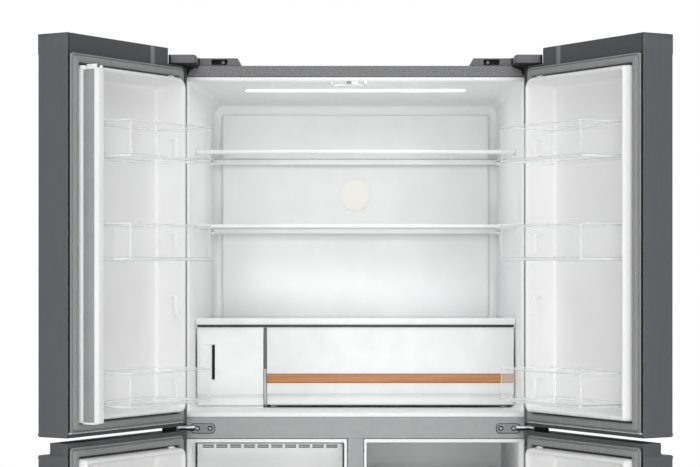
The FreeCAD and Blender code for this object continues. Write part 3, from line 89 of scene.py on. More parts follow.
def loft(rings, capStart=True, capEnd=True, loop=False, flip=False):  # skin over rings of one size
    count, last = len(rings[0]), len(rings) - 1
    points = [point for one in rings for point in one]
    faces = []
    for low, high in [(at, at + 1) for at in range(last)] + ([(last, 0)] if loop else []):
        for i in range(count):
            j = (i + 1) % count
            faces.append((low * count + i, low * count + j, high * count + j, high * count + i))
    if capStart and not loop:
        faces.append(tuple(reversed(range(count))))
    if capEnd and not loop:
        faces.append(tuple(last * count + i for i in range(count)))
    return points, [face[::-1] for face in faces] if flip else faces


def strips(count, rows):  # faces of an open sheet of rows of points
    return [(row + i, row + i + 1, row + count + i + 1, row + count + i)
            for row in range(0, count * (rows - 1), count) for i in range(count - 1)]


def ribbon(outline, axis, reach):  # an open line drawn out along an axis
    return [across(axis, at, a, b) for at in reach for a, b in outline], strips(len(outline), 2)


def drape(outline, levels):  # an open line drawn upwards, its front pulled back at some heights
    back = max(b for a, b in outline)
    deep = back - min(b for a, b in outline)
    points = [(a, back - (back - b) * (1 - pull / deep), high) for high, pull in levels for a, b in outline]
    return points, strips(len(outline), len(levels))


def prism(outline, axis, reach, soft=0.0):  # a closed outline drawn out, edges softened
    count = len(outline)
    points = [across(axis, at, a, b) for at in reach for a, b in outline]
    faces = [(i, (i + 1) % count, count + (i + 1) % count, count + i) for i in range(count)]
    faces += [tuple(range(count)), tuple(reversed(range(count, 2 * count)))]
    return soften((points, faces), soft)


def soften(shape, soft):  # rounds every edge that is not flat
    if not soft:
        return shape
    work = bmesh.new()
    spots = [work.verts.new(point) for point in shape[0]]
    for face in shape[1]:
        work.faces.new([spots[i] for i in face])
    bmesh.ops.recalc_face_normals(work, faces=work.faces[:])
    sharp = [edge for edge in work.edges if len(edge.link_faces) == 2 and edge.calc_face_angle() > flatTurn]
    bmesh.ops.bevel(work, geom=sharp, offset=soft, segments=2, profile=0.5, affect="EDGES",
                    clamp_overlap=True)
    work.verts.index_update()
    made = [tuple(v.co) for v in work.verts], [tuple(v.index for v in f.verts) for f in work.faces]
    work.free()
    return made


def softBox(x, y, z, soft):
    return prism([(x[0], y[0]), (x[1], y[0]), (x[1], y[1]), (x[0], y[1])], "z", z, soft)


def lathe(axis, at, profile, steps=28):  # profile of (radius, place along the axis)
    ways = [(math.cos(2 * math.pi * i / steps), math.sin(2 * math.pi * i / steps)) for i in range(steps)]
    return loft([[across(axis, along, at[0] + r * a, at[1] + r * b) for a, b in ways]
                 for r, along in profile])


def join(*shapes):
    points, faces = [], []
    for more, extra in shapes:
        faces += [tuple(i + len(points) for i in face) for face in extra]
        points += list(more)
    return points, faces


def mirror(shape):
    return [(-x, y, z) for x, y, z in shape[0]], [face[::-1] for face in shape[1]]


def pair(shape):
    return join(shape, mirror(shape))


def meshOf(name, points, faces, paints=None, weld=0.0, outward=True):
    mesh = bpy.data.meshes.new(name)
    mesh.from_pydata(points, [], faces)
    if paints:
        mesh.polygons.foreach_set("material_index", paints)
    work = bmesh.new()
    work.from_mesh(mesh)
    if weld:
        bmesh.ops.remove_doubles(work, verts=work.verts[:], dist=weld)
    if outward:
        bmesh.ops.recalc_face_normals(work, faces=work.faces[:])
    work.to_mesh(mesh)
    work.free()
    return mesh


def show(name, data):
    made = bpy.data.objects.new(name, data)
    bpy.context.scene.collection.objects.link(made)
    return made


def carve(shape, *cutters):  # takes the cutters out of a closed shape
    base = show("carveBase", meshOf("carveBase", *shape))
    tool = show("carveTool", meshOf("carveTool", *join(*cutters)))
    step = base.modifiers.new("carve", "BOOLEAN")
    step.operation, step.solver, step.object = "DIFFERENCE", "EXACT", tool
    mesh = base.evaluated_get(bpy.context.evaluated_depsgraph_get()).to_mesh()
    result = [tuple(v.co) for v in mesh.vertices], [tuple(f.vertices) for f in mesh.polygons]
    for one in (base, tool):
        data = one.data
        bpy.data.objects.remove(one)
        bpy.data.meshes.remove(data)
    return result


def piece(name, parts, slot, *replaced, body="cabinet", shell=0.0):
    shape = join(*[part for part, finish in parts])
    finishes = list(dict.fromkeys(finish for part, finish in parts))
    paints = [finishes.index(finish) for part, finish in parts for face in part[1]]
    points = [Vector(point) * mm for point in shape[0]]
    mesh = meshOf(name, points, shape[1], paints, weldWithin, outward=not shell)
    for finish in finishes:
        mesh.materials.append(finish)
    mesh.shade_smooth()
    mesh.set_sharp_from_angle(angle=math.radians(sharpFrom))
    made = show(name, mesh)
    if shell:
        wall = made.modifiers.new("wall", "SOLIDIFY")
        wall.thickness, wall.offset = shell * mm, -1
    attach(made, body)
    if replaced:
        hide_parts(*replaced)
    return made


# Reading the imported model: doors are drawn open, so their sizes are read with the swing undone.
pin = [value / mm for value in joints["upper_left_door_swing"]["pos_m"]]
swing = math.radians(-joints["upper_left_door_swing"]["range_deg"][0])


def turned(point, angle):  # about the left doors' pin
    wide, deep = point[0] - pin[0], point[1] - pin[1]
    return (pin[0] + wide * math.cos(angle) - deep * math.sin(angle),
            pin[1] + wide * math.sin(angle) + deep * math.cos(angle), point[2])


def hang(shape, side):  # a shape drawn on the closed left door, swung open, mirrored for the right
    made = [turned(point, -swing) for point in shape[0]], shape[1]
    return made if side == "left" else mirror(made)


def extent(points):
    axes = list(zip(*points))
    return tuple(min(axis) for axis in axes), tuple(max(axis) for axis in axes)


def nodePoints(node, side=None):
    points = [tuple(value / mm for value in v.co) for v in nodes[node].data.vertices]
    if side == "right":
        points = [(-x, y, z) for x, y, z in points]
    return [turned(point, swing) for point in points] if side else points


def nodeBox(node, side=None):
    return extent(nodePoints(node, side))


def solidBoxes(node, side=None):  # the box of each separate solid of a node, lowest first
    points = nodePoints(node, side)
    keys = [tuple(round(value, 1) for value in point) for point in points]
    root = {key: key for key in keys}

    def top(key):
        while root[key] != key:
            root[key] = root[root[key]]
            key = root[key]
        return key
    for face in nodes[node].data.polygons:
        first = top(keys[face.vertices[0]])
        for other in face.vertices[1:]:
            root[top(keys[other])] = first
    groups = {}
    for key, point in zip(keys, points):
        groups.setdefault(top(key), []).append(point)
    boxes = [extent(group) for group in groups.values()]
    return sorted(boxes, key=lambda box: (round(box[0][2]), box[0][0]))


# Finishes.
def linear(text):  # sRGB hex to linear colour
    values = [int(text[i:i + 2], 16) / 255 for i in (1, 3, 5)]
    return [v / 12.92 if v <= 0.04045 else ((v + 0.055) / 1.055) ** 2.4 for v in values] + [1.0]


def wire(tree, node, sockets):  # each input takes a value, a socket or another node's first output
    for socket, value in sockets.items():
        if isinstance(value, bpy.types.Node):
            value = value.outputs[0]
        if isinstance(value, bpy.types.NodeSocket):
            tree.links.new(value, node.inputs[socket])
        else:
            node.inputs[socket].default_value = value


def addNode(tree, kind, sockets, **settings):
    made = tree.nodes.new("ShaderNode" + kind)
    for key, value in settings.items():
        setattr(made, key, value)
    wire(tree, made, sockets)
    return made


def newFinish(name):
    made = bpy.data.materials.new(name)
    made.use_nodes = True
    tree = made.node_tree
    return made, tree, tree.nodes["Principled BSDF"], addNode(tree, "TexCoord", {}).outputs["Object"]


def surface(name, look):  # two close colours, roughness and relief that follow one grain
    made, tree, shader, place = newFinish(name)
    grain = look["grain"] if isinstance(look["grain"], tuple) else (look["grain"],) * 3  # along x, y, z
    sized = addNode(tree, "Mapping", {"Vector": place, "Scale": [1000 / size for size in grain]})
    value = addNode(tree, look.get("kind", "TexNoise"), {"Vector": sized, "Scale": 1.0})
    if "detail" in look:
        wire(tree, value, {"Detail": look["detail"]})
    low, high = look.get("spread", (0.35, 0.65))
    ramp = addNode(tree, "ValToRGB", {"Fac": value})
    for stop, at, tone in zip(ramp.color_ramp.elements, (low, high), look["colours"]):
        stop.position, stop.color = at, linear(tone)
    rough = addNode(tree, "MapRange", {"Value": value, "From Min": low, "From Max": high,
                                       "To Min": look["rough"][0], "To Max": look["rough"][1]})
    wire(tree, shader, {"Base Color": ramp, "Roughness": rough, **look.get("shader", {})})
    if "relief" in look:
        wire(tree, shader, {"Normal": addNode(tree, "Bump", {"Height": value, "Strength": 1.0,
                                                             "Distance": look["relief"] * mm})})
    return made


# what mouldings, sheets and tubes of one making share; grain and relief in millimetres
sparkMould = dict(grain=1.2, rough=(0.42, 0.55), relief=0.012)
formedSheet = dict(grain=160, rough=(0.36, 0.42), relief=0.02, shader={"IOR": 1.55})
waxyMould = dict(grain=1.5, rough=(0.3, 0.42), relief=0.005)
whiteMould = dict(grain=2, rough=(0.28, 0.38), relief=0.006, shader={"IOR": 1.53})
bareMetal = dict(relief=0.003, shader={"Metallic": 1.0})
clearMould = dict(grain=20, rough=(0.2, 0.3), relief=0.004)
precoatedSteel = surface("brushedPrecoatedSteel", dict(  # brushed, then film coated: soft upright streaks
    colours=("#57585B", "#5C5D60"), grain=(1.2, 1.2, 140), rough=(0.36, 0.42), relief=0.001,
    shader={"Metallic": 0.4}))  # brush lines are 0.2 mm, drawn at 1.2 mm to show
texturedPaint = surface("texturedPaintedSteel", dict(  # orange-peel powder coat: fine pale speckle
    colours=("#4C4C4E", "#909092"), grain=3, spread=(0.3, 0.7), rough=(0.42, 0.55), relief=0.02,
    detail=3.0))  # the peel is about 1.5 mm, drawn at 3 mm to show
greyPaint = surface("prepaintedGreySteel", dict(  # coil painted, nearly plain, soft satin
    colours=("#999A9B", "#9FA0A1"), grain=30, rough=(0.36, 0.44), relief=0.004))
darkAbs = surface("mouldedDarkAbs", dict(  # spark-eroded mould: dull, very fine grain
    sparkMould, colours=("#38393B", "#404143"), rough=(0.45, 0.6)))
coverAndShadeAbs = surface("mouldedGreyAbsAndShade", dict(  # lighter cap colour of the same moulding family, for the hinge covers; also painted shade on the divider trim and behind the freezer vents
    sparkMould, colours=("#5C5D5F", "#66676A")))
gripLitAbs = surface("mouldedCharcoalAbsLitCopy", dict(  # painted light: a lighter copy of the dark cap moulding for the grip step on the lower doors
    sparkMould, colours=("#434446", "#4B4C4E")))
clipAbs = surface("mouldedPaleGreyAbs", dict(  # small clip pressed into the cap
    sparkMould, colours=("#757678", "#7F8082"), relief=0.01))
formedHips = surface("vacuumFormedHips", dict(  # glossy white sheet, faintly wavy from forming
    formedSheet, colours=("#F0F1F1", "#F3F4F4")))
doorHips = surface("vacuumFormedDoorHips", dict(  # the same sheet drawn deeper, without the cool tint
    formedSheet, colours=("#F0F0F0", "#F3F3F3")))
freezerLitHips = surface("vacuumFormedFreezerLitHips", dict(  # painted light: the same sheet, a little brighter, for the unlit freezer
    formedSheet, colours=("#F0F1F1", "#F4F5F5")))
softPvc = surface("extrudedSoftPvc", dict(  # matt extruded gasket, slight lengthwise tone
    colours=("#8B8C8C", "#919292"), grain=(8, 8, 40), rough=(0.5, 0.62), relief=0.01, shader={"IOR": 1.53}))
whiteAbs = surface("mouldedWhiteAbs", dict(  # satin white moulding
    whiteMould, colours=("#EEEFEF", "#F3F4F4")))
crisperAbs = surface("mouldedSatinAbs", dict(  # drawer fronts and shelf trims, a little greyer
    whiteMould, colours=("#E6E7E7", "#ECEDED"), grain=60, rough=(0.3, 0.4)))
mullionAndLitLugAbs = surface("polishedWhiteAbsAndLitLugs", dict(  # brighter, smoother white of the mullion cover; on the lugs it is painted light, brighter than the tray around them
    whiteMould, colours=("#F7F8F8", "#FBFBFB"), grain=40, rough=(0.38, 0.44), relief=0.004))
ductPs = surface("mouldedDuctPs", dict(  # large flat moulding, silky, with faint flow marks
    colours=("#E9EAEA", "#EFF0F0"), grain=(120, 40, 180), rough=(0.3, 0.42), relief=0.02))
creamAbs = surface("mouldedCreamAbs", dict(  # warm white filter cap
    colours=("#F0EDE7", "#F3F1EC"), grain=2, rough=(0.35, 0.45), relief=0.006))
greyPom = surface("mouldedGreyPom", dict(  # small grey pins and clips, waxy
    waxyMould, colours=("#8E9092", "#9A9C9E")))
palePom = surface("mouldedPalePom", dict(  # the same waxy plastic, nearly white
    waxyMould, colours=("#B4B6B7", "#BEC0C1")))
blackAndShadePp = surface("mouldedBlackPpAndShade", dict(  # black moulding for the real black parts, and painted shade: black sheets put where only shade falls in gaps and recesses
    colours=("#0E0E0F", "#141415"), grain=1.5, rough=(0.6, 0.75), relief=0.01,
    shader={"Specular IOR Level": 0.25}))
zincSteel = surface("zincPlatedSteel", dict(  # bright plated stampings, slightly streaked
    bareMetal, colours=("#8D8F92", "#A2A4A7"), grain=(4, 12, 4), rough=(0.25, 0.4), relief=0.004))
hingePaint = surface("phosphatedGreySteel", dict(  # dull grey pressed plate
    colours=("#717274", "#7B7C7E"), grain=2.5, rough=(0.4, 0.5), relief=0.01, shader={"Metallic": 0.3}))
galvanised = surface("galvanisedSteel", dict(  # zinc spangle, patches about 9 mm
    colours=("#A9ADB0", "#BCC0C3"), grain=9, kind="TexVoronoi", spread=(0.1, 0.8),
    rough=(0.38, 0.52), relief=0.003, shader={"Metallic": 0.85}))
puFoam = surface("foamedRigidPu", dict(  # buff cells about 2 mm
    colours=("#D9C893", "#E6D8AC"), grain=2, rough=(0.8, 0.92), relief=0.3, detail=4.0))
drawnCopper = surface("drawnCopper", dict(  # bright drawn tube with lengthwise tone
    bareMetal, colours=("#B0704A", "#C08055"), grain=(30, 3, 3), rough=(0.28, 0.42)))
finAluminium = surface("rolledAluminium", dict(  # mill finish, soft streaks
    bareMetal, colours=("#B6B9BB", "#C6C9CB"), grain=(2, 2, 40), rough=(0.32, 0.45)))
blackEnamel = surface("stovedBlackEnamel", dict(  # thick glossy paint with orange peel
    colours=("#161617", "#1F1F20"), grain=5, rough=(0.18, 0.3), relief=0.03))
frostedPp = surface("mouldedFrostedPp", dict(  # cloudy drawer plastic
    colours=("#DDE0E1", "#E6E9EA"), grain=14, rough=(0.32, 0.45), relief=0.01,
    shader={"Transmission Weight": 0.15, "IOR": 1.49}))
clearPs = surface("mouldedClearPs", dict(  # water-clear thin walls: light passes, only gloss and edges show
    clearMould, colours=("#F4F5F5", "#FAFBFB"), grain=90, rough=(0.06, 0.1),
    shader={"Alpha": 0.18, "IOR": 1.59}))
clearRim = surface("polishedClearPsEdge", dict(  # rims and base lines gather light and look pale
    clearMould, colours=("#F2F4F4", "#FBFCFC"), rough=(0.12, 0.2), shader={"Alpha": 0.36, "IOR": 1.59}))
clearEdge = surface("shadedClearPsEdge", dict(  # cut edges turn the light away and read as thin grey lines
    clearMould, colours=("#A9ADAD", "#B4B8B8"), shader={"Alpha": 0.32, "IOR": 1.59}))
clearCorner = surface("thickClearPsCorner", dict(  # the thick moulded corner scatters more light
    clearMould, colours=("#F4F5F5", "#FAFBFB"), shader={"Alpha": 0.7, "IOR": 1.59}))
shelfGlass = surface("toughenedGlass", dict(  # float glass, faint roller wave, cool tint
    colours=("#EAF3F0", "#F2F8F6"), grain=150, rough=(0.03, 0.06), relief=0.004,
    shader={"Alpha": 0.08, "IOR": 1.52}))
opalAcrylic = surface("opalAcrylic", dict(  # lamp lens, evenly lit from behind
    colours=("#FDFDFB", "#FFFFFF"), grain=6, rough=(0.3, 0.4), relief=0.004,
    shader={"Emission Color": linear("#FFFDF8"), "Emission Strength": 2.2}))


def woodFilm(look):  # laminated oak strip: long fine grain, pores as short dark dashes, satin lacquer
    made, tree, shader, place = newFinish("lacqueredOakStrip")
    figure, fine = (addNode(tree, "Mapping", {"Vector": place, "Scale": [1000 / size for size in grain]})
                    for grain in (look["figure"], look["pores"]))
    wave = addNode(tree, "TexNoise", {"Vector": figure, "Scale": 1.0, "Detail": 5.0, "Roughness": 0.6,
                                      "Distortion": 0.4})
    ramp = addNode(tree, "ValToRGB", {"Fac": wave})
    for stop, (at, tone) in zip(ramp.color_ramp.elements, look["tones"]):
        stop.position, stop.color = at, linear(tone)
    pores = addNode(tree, "TexNoise", {"Vector": fine, "Scale": 1.0, "Detail": 2.0})
    low, high = look["poreRange"]
    dark = addNode(tree, "MapRange", {"Value": pores, "From Min": low, "From Max": high, "To Min": 0.0,
                                      "To Max": look["poreDepth"]})
    mixed = addNode(tree, "Mix", {"Factor": dark, 6: ramp, 7: linear(look["poreTone"])}, data_type="RGBA")
    low, high = look["rough"]
    rough = addNode(tree, "MapRange", {"Value": wave, "To Min": low, "To Max": high})
    bump = addNode(tree, "Bump", {"Height": pores, "Strength": 1.0, "Distance": look["relief"] * mm})
    wire(tree, shader, {"Base Color": mixed.outputs[2], "Roughness": rough, "Normal": bump,
                        "Coat Weight": look["lacquer"], "Coat Roughness": look["lacquerRough"]})
    return made


oakStrip = woodFilm(dict(
    figure=(140, 5, 4), pores=(18, 1.2, 1.0), poreRange=(0.58, 0.72), poreDepth=0.5, poreTone="#8E5A30",
    rough=(0.38, 0.52), relief=0.05, lacquer=0.15, lacquerRough=0.3,
    tones=((0.3, "#A86A38"), (0.7, "#C48850"))))
print("finishes made")


# Cabinet: sheet wrap, front flange, liners.
caseX, caseY, caseZ = spans(nodeBox("outer_case"))
mouthX = spans(nodeBox("fridge_liner"))[0]
mouthTop = nodeBox("fridge_liner")[1][2]
sill = nodeBox("center_post")[0][2]
railUnder = nodeBox("cross_rail")[0][2]
freezerDrawers = [name for name in nodes if name.startswith("freezer_drawer")]


def buildCase():
    look = dict(bend=2.2, hem=9, sheet=0.8, corner=5, grooveAt=3.5, grooveWide=2.2, grooveSheet=0.4)
    r, corner, openZ = look["bend"], look["corner"], (sill, mouthTop)
    wrap = ([(caseX[0], caseZ[0])] + arc((caseX[0] + r, caseZ[1] - r), r, 180, 90)
            + arc((caseX[1] - r, caseZ[1] - r), r, 90, 0) + [(caseX[1], caseZ[0])])
    sides = ribbon(wrap, "y", (r, caseY[1]))
    outside = stack("y", caseX, caseZ, ((r, 0, r), (r * 0.3, r * 0.3, r), (0, r, r)))
    inside = stack("y", mouthX, openZ, ((0, -1.0, corner), (0.3, 0.3, corner), (look["hem"], 0.6, corner)))
    flange = loft(outside + inside, capStart=False, capEnd=False)
    deep = look["grooveAt"]  # painted shadow: a black ring stands in for the shade in the groove between flange and liner
    groove = loft(stack("y", mouthX, openZ, ((deep, -0.4, corner), (deep, look["grooveWide"], corner))),
                  capStart=False, capEnd=False)
    piece("case_wrap", [(sides, texturedPaint)], "case_steel", "outer_case", shell=look["sheet"])
    piece("case_flange", [(flange, texturedPaint)], "case_steel", shell=look["sheet"])
    piece("mouth_groove_shade", [(groove, blackAndShadePp)], "seal_vinyl", shell=look["grooveSheet"])


def sideWall(y):  # the chilled liner's right wall leans in towards the back
    look = dict(inset=11, lean=0.036)
    return mouthX[1] - look["inset"] - y * look["lean"]


def buildFridgeLiner():
    # each row: depth, in from the side, down from the top, up from the floor, corner radius
    look = dict(sheet=1.2, rests=(135, 500), restLong=46, restTall=9, pin=(25, 14), pinBack=9, rows=(
        (6, 1.4, 1.8, 0.4, 5), (1.2, 1.4, 1.8, 0.4, 5), (0.5, 2.0, 2.4, 1.0, 6), (0.8, 4.2, 8.4, 8.6, 6),
        (2.2, 4.9, 10.6, 10.6, 7), (7, 5.2, 11.7, 11.4, 8), (20, 5.6, 12.6, 11.8, 8),
        (21.6, 9.2, 13.0, 11.9, 9), (36, 11.0, 13.2, 12.1, 11), (76, 12.6, 13.8, 12.8, 15),
        (108, 13.8, 14.0, 13.4, 18), (116, 14.2, 14.2, 13.8, 18), (300, 21.0, 16.5, 14, 24),
        (505, 28.6, 19.2, 14, 26), (535, 30.4, 22, 15, 26), (551, 33.5, 29, 19, 26),
        (558.5, 41, 40, 28, 24), (560, 54, 50, 40, 20)))
    bottom = nodeBox("fridge_liner")[0][2]
    tub = loft([ring("y", y, shrink(mouthX, side), (bottom + low, mouthTop - top), r)
                for y, side, top, low, r in look["rows"]], capStart=False)
    piece("fridge_liner_tub", [(tub, formedHips)], "white_liner", "fridge_liner", shell=look["sheet"])
    parts = []
    for box in solidBoxes("shelf_frames"):
        y, z = spans(box)[1:]
        for at in look["rests"]:  # short moulded shelf rests on both side walls
            wall = sideWall(at)
            rest = softBox((wall - 7, wall + 4), (at, at + look["restLong"]),
                           (z[0] - look["restTall"], z[0] - 0.5), 2)
            parts.append((pair(rest), formedHips))
        tip, root = (mouthX[1] - inset for inset in look["pin"])
        stud = lathe("x", (y[0] + look["pinBack"], sum(z) / 2),
                     [(0.01, tip), (3.4, tip), (4, tip + 1), (4, root)], 16)
        parts.append((pair(stud), greyPom))
    piece("shelf_rests", parts, "white_liner")


def buildFreezerLiners():
    # each row: depth, in from the side, in from the post, down from the rail, corner radius
    look = dict(sheet=1.2, stepBack=350, stepTop=330, ledge=(11, 13), ledgeTall=8, rows=(
        (6, 1.4, 1.4, 1.4, 2), (1.2, 1.4, 1.4, 1.4, 2), (0.5, 2, 2, 2, 2), (0.8, 4.2, 6.8, 9.2, 2.5),
        (2.4, 5, 7.8, 10.6, 3), (23.6, 5.6, 8.2, 11.2, 3), (25, 14, 8.4, 11.6, 3.5),
        (29, 16.4, 8.6, 12.2, 4), (52, 17.4, 8.8, 13.2, 5), (62, 18.5, 9, 14, 6)))
    wide, tall = (mouthX[0], nodeBox("center_post")[0][0]), (sill, railUnder)
    rings = [ring("y", y, shrink(wide, side, inner), shrink(tall, min(high, 9), high), r)
             for y, side, inner, high, r in look["rows"]]
    x, z = shrink(wide, 18.5, 9), shrink(tall, 9, 14)
    back, step, rear = look["stepBack"], look["stepTop"], nodeBox("freezer_liners")[1][1]
    for y, inset, low, high, r in (  # over the machine space, then the rounded end
            (back - 8, 0, z[0], 0, 12), (back, 0, z[0] + 6, 0, 12), (back + 2, 0, step - 8, 0, 12),
            (back + 8, 0, step, 0, 12), (rear - 14, 0, step + 2, 0, 14), (rear - 4, 4, step + 7, 5, 12),
            (rear - 2, 12, step + 14, 13, 10)):
        rings.append(ring("y", y, shrink(x, inset), (low, z[1] - high), r))
    tub = loft(rings, capStart=False)
    ledges = []
    for node in freezerDrawers:
        x, y, z = spans(nodeBox(node))
        under = z[0] - 0.5
        for edge, way in ((x[0], -1), (x[1], 1)):
            reach = sorted((edge - way * look["ledge"][0], edge + way * look["ledge"][1]))
            ledges.append(softBox(reach, (y[0] + 10, y[1]), (under - look["ledgeTall"], under), 2))
    piece("freezer_tubs", [(tub, freezerLitHips), (mirror(tub), freezerLitHips)], "white_liner", "freezer_liners",
          shell=look["sheet"])
    piece("freezer_ledges", [(join(*ledges), freezerLitHips)], "white_liner")


def buildDuctCover():
    look = dict(edge=3.5, capProud=2, capSteps=48, slots=3, slotTall=70, slotDrop=60)
    x, y, z = spans(nodeBox("duct_cover"))
    front, rear, edge = y[0] + look["capProud"], y[1], look["edge"]
    rows = ((rear, 0, 5), (front + edge, 0, 5), (front + edge * 0.3, 1, 5), (front, edge, 4))
    panel = loft(stack("y", x, z, rows), capStart=False)
    low, high = extent([p for p in nodePoints("duct_cover") if p[1] < front - 1])  # the round filter cap
    middle, radius = ((low[0] + high[0]) / 2, (low[2] + high[2]) / 2), (high[0] - low[0]) / 2
    cap = lathe("y", middle, [
        (radius, front + 1), (radius, front - 0.9), (radius - 1, front - 1.9), (radius - 5, front - 2),
        (radius - 5.8, front - 1.2), (radius - 6.6, front - 2), (0.01, front - 2)], look["capSteps"])
    slots = []
    for level in range(look["slots"]):
        top = z[1] - look["slotDrop"] - level * (z[1] - z[0] - 9) / look["slots"]
        # painted shade: thin black sheets stand in for the dark inside of the side air slots
        slots.append(softBox((x[1] - 1, x[1] + 0.25), (rear - 14, rear - 4),
                             (top - look["slotTall"], top), 0.2))
    parts = [(panel, ductPs), (cap, creamAbs), (pair(join(*slots)), blackAndShadePp)]
    piece("duct_panel", parts, "white_plastic", "duct_cover")


def buildLamp():
    # each row: height, inset, corner radius
    look = dict(frontIn=2, rearIn=12, lens=((8, 0, 20), (2, 0, 20), (0.5, 2, 19), (0, 7, 16)),
                rim=((9, -5, 23), (3.2, -5, 23), (2.4, -4, 22), (2.4, -0.3, 20)))
    x, y, z = spans(nodeBox("ceiling_lamp"))
    y = shrink(y, look["frontIn"], look["rearIn"])
    lens, rim = (stack("z", x, y, [(z[0] + rise, inset, r) for rise, inset, r in look[name]], 8)
                 for name in ("lens", "rim"))
    piece("lamp_lens", [(loft(lens), opalAcrylic)], "lamp_lens", "ceiling_lamp")
    piece("lamp_frame", [(loft(rim, capEnd=False), whiteAbs)], "white_plastic")


def buildShelves():
    look = dict(gap=0.5, bar=15, rail=5, stop=12, stopDrop=16, lap=8)
    glasses = solidBoxes("shelf_glasses")
    trims, plates, lines = [], [], []
    for at, box in enumerate(solidBoxes("shelf_frames")):
        y, z = spans(box)[1:]
        front, rear = (sideWall(deep) - look["gap"] for deep in y)
        barEnd, stopAt, stopLow = y[0] + look["bar"], y[1] - look["stop"], z[1] - look["stopDrop"]
        bar = [(y[0], z[0] + 3), (y[0] + 2.5, z[0]), (barEnd, z[0]), (barEnd, z[1] - 2), (barEnd - 2, z[1]),
               (y[0] + 3, z[1]), (y[0], z[1] - 3)]
        trims.append(prism(bar, "x", (-front, front), 1.2))
        if at:  # the crisper cover lies flat, without a rear stop
            stop = [(stopAt, stopLow), (y[1], stopLow), (y[1], z[1] + 2), (y[1] - 3, z[1] + 2),
                    (y[1] - 4, z[1] - 0.6), (stopAt, z[1] - 0.6)]
            trims.append(prism(stop, "x", (-rear, rear), 0.8))
            lines.append(softBox((-rear + 2, rear - 2), (stopAt - 0.6, stopAt + 0.4),
                                 (z[1] - 2.6, z[1] - 1.0), 0.2))
        rail = [(front, y[0] + 10), (front - look["rail"], y[0] + 10), (rear - look["rail"], y[1] - 8),
                (rear, y[1] - 8)]
        trims.append(pair(prism(rail, "z", (z[0] + 1.5, z[1] - 0.3), 0.8)))
        near, far = front - look["lap"], rear - look["lap"]
        plate = [(-near, y[0] + 9), (near, y[0] + 9), (far, y[1] - 9), (-far, y[1] - 9)]
        plates.append(prism(plate, "z", spans(glasses[at])[2], 0.6))
    piece("shelf_trims", [(join(*trims), crisperAbs), (join(*lines), greyPom)], "white_plastic",
          "shelf_frames")
    panes = piece("shelf_plates", [(join(*plates), shelfGlass)], "shelf_glass", "shelf_glasses")
    panes.visible_shadow = False  # clear glass hardly shades the shelf below


def crisperFace(x, y, z, look):  # plate, a shaded groove under it, then a foot that comes forward again
    edge, sunk = z[0] + look["band"], y[0] + look["lean"]
    outline = [(y[0], edge + 1), (sunk, edge), (sunk + 0.6, edge - 4), (sunk - 0.6, edge - look["groove"]),
               (y[0] + 1.6, z[0] + 5), (y[0] + 1.2, z[0]), (y[1], z[0]), (y[1], z[1]), (y[0], z[1])]
    return prism(outline, "x", x, look["soft"])


def drawerTub(x, y, z, wall, taper):  # open box with rounded corners, thin walls and a rolled rim
    bend = z[0] + 16
    rows = [(z[0] + wall, taper + wall + 6, 10), (z[0] + wall + 2, taper + wall + 1.5, 14),
            (bend, taper + wall, 14), (z[1] - 3, wall, 12), (z[1], wall, 12), (z[1], -1.2, 12),
            (z[1] - 4, -1.2, 12), (z[1] - 5, 0, 12), (bend, taper, 14),
            (z[0] + 3, taper + 1.5, 14), (z[0], taper + 7, 10)]
    return loft(stack("z", x, y, rows))


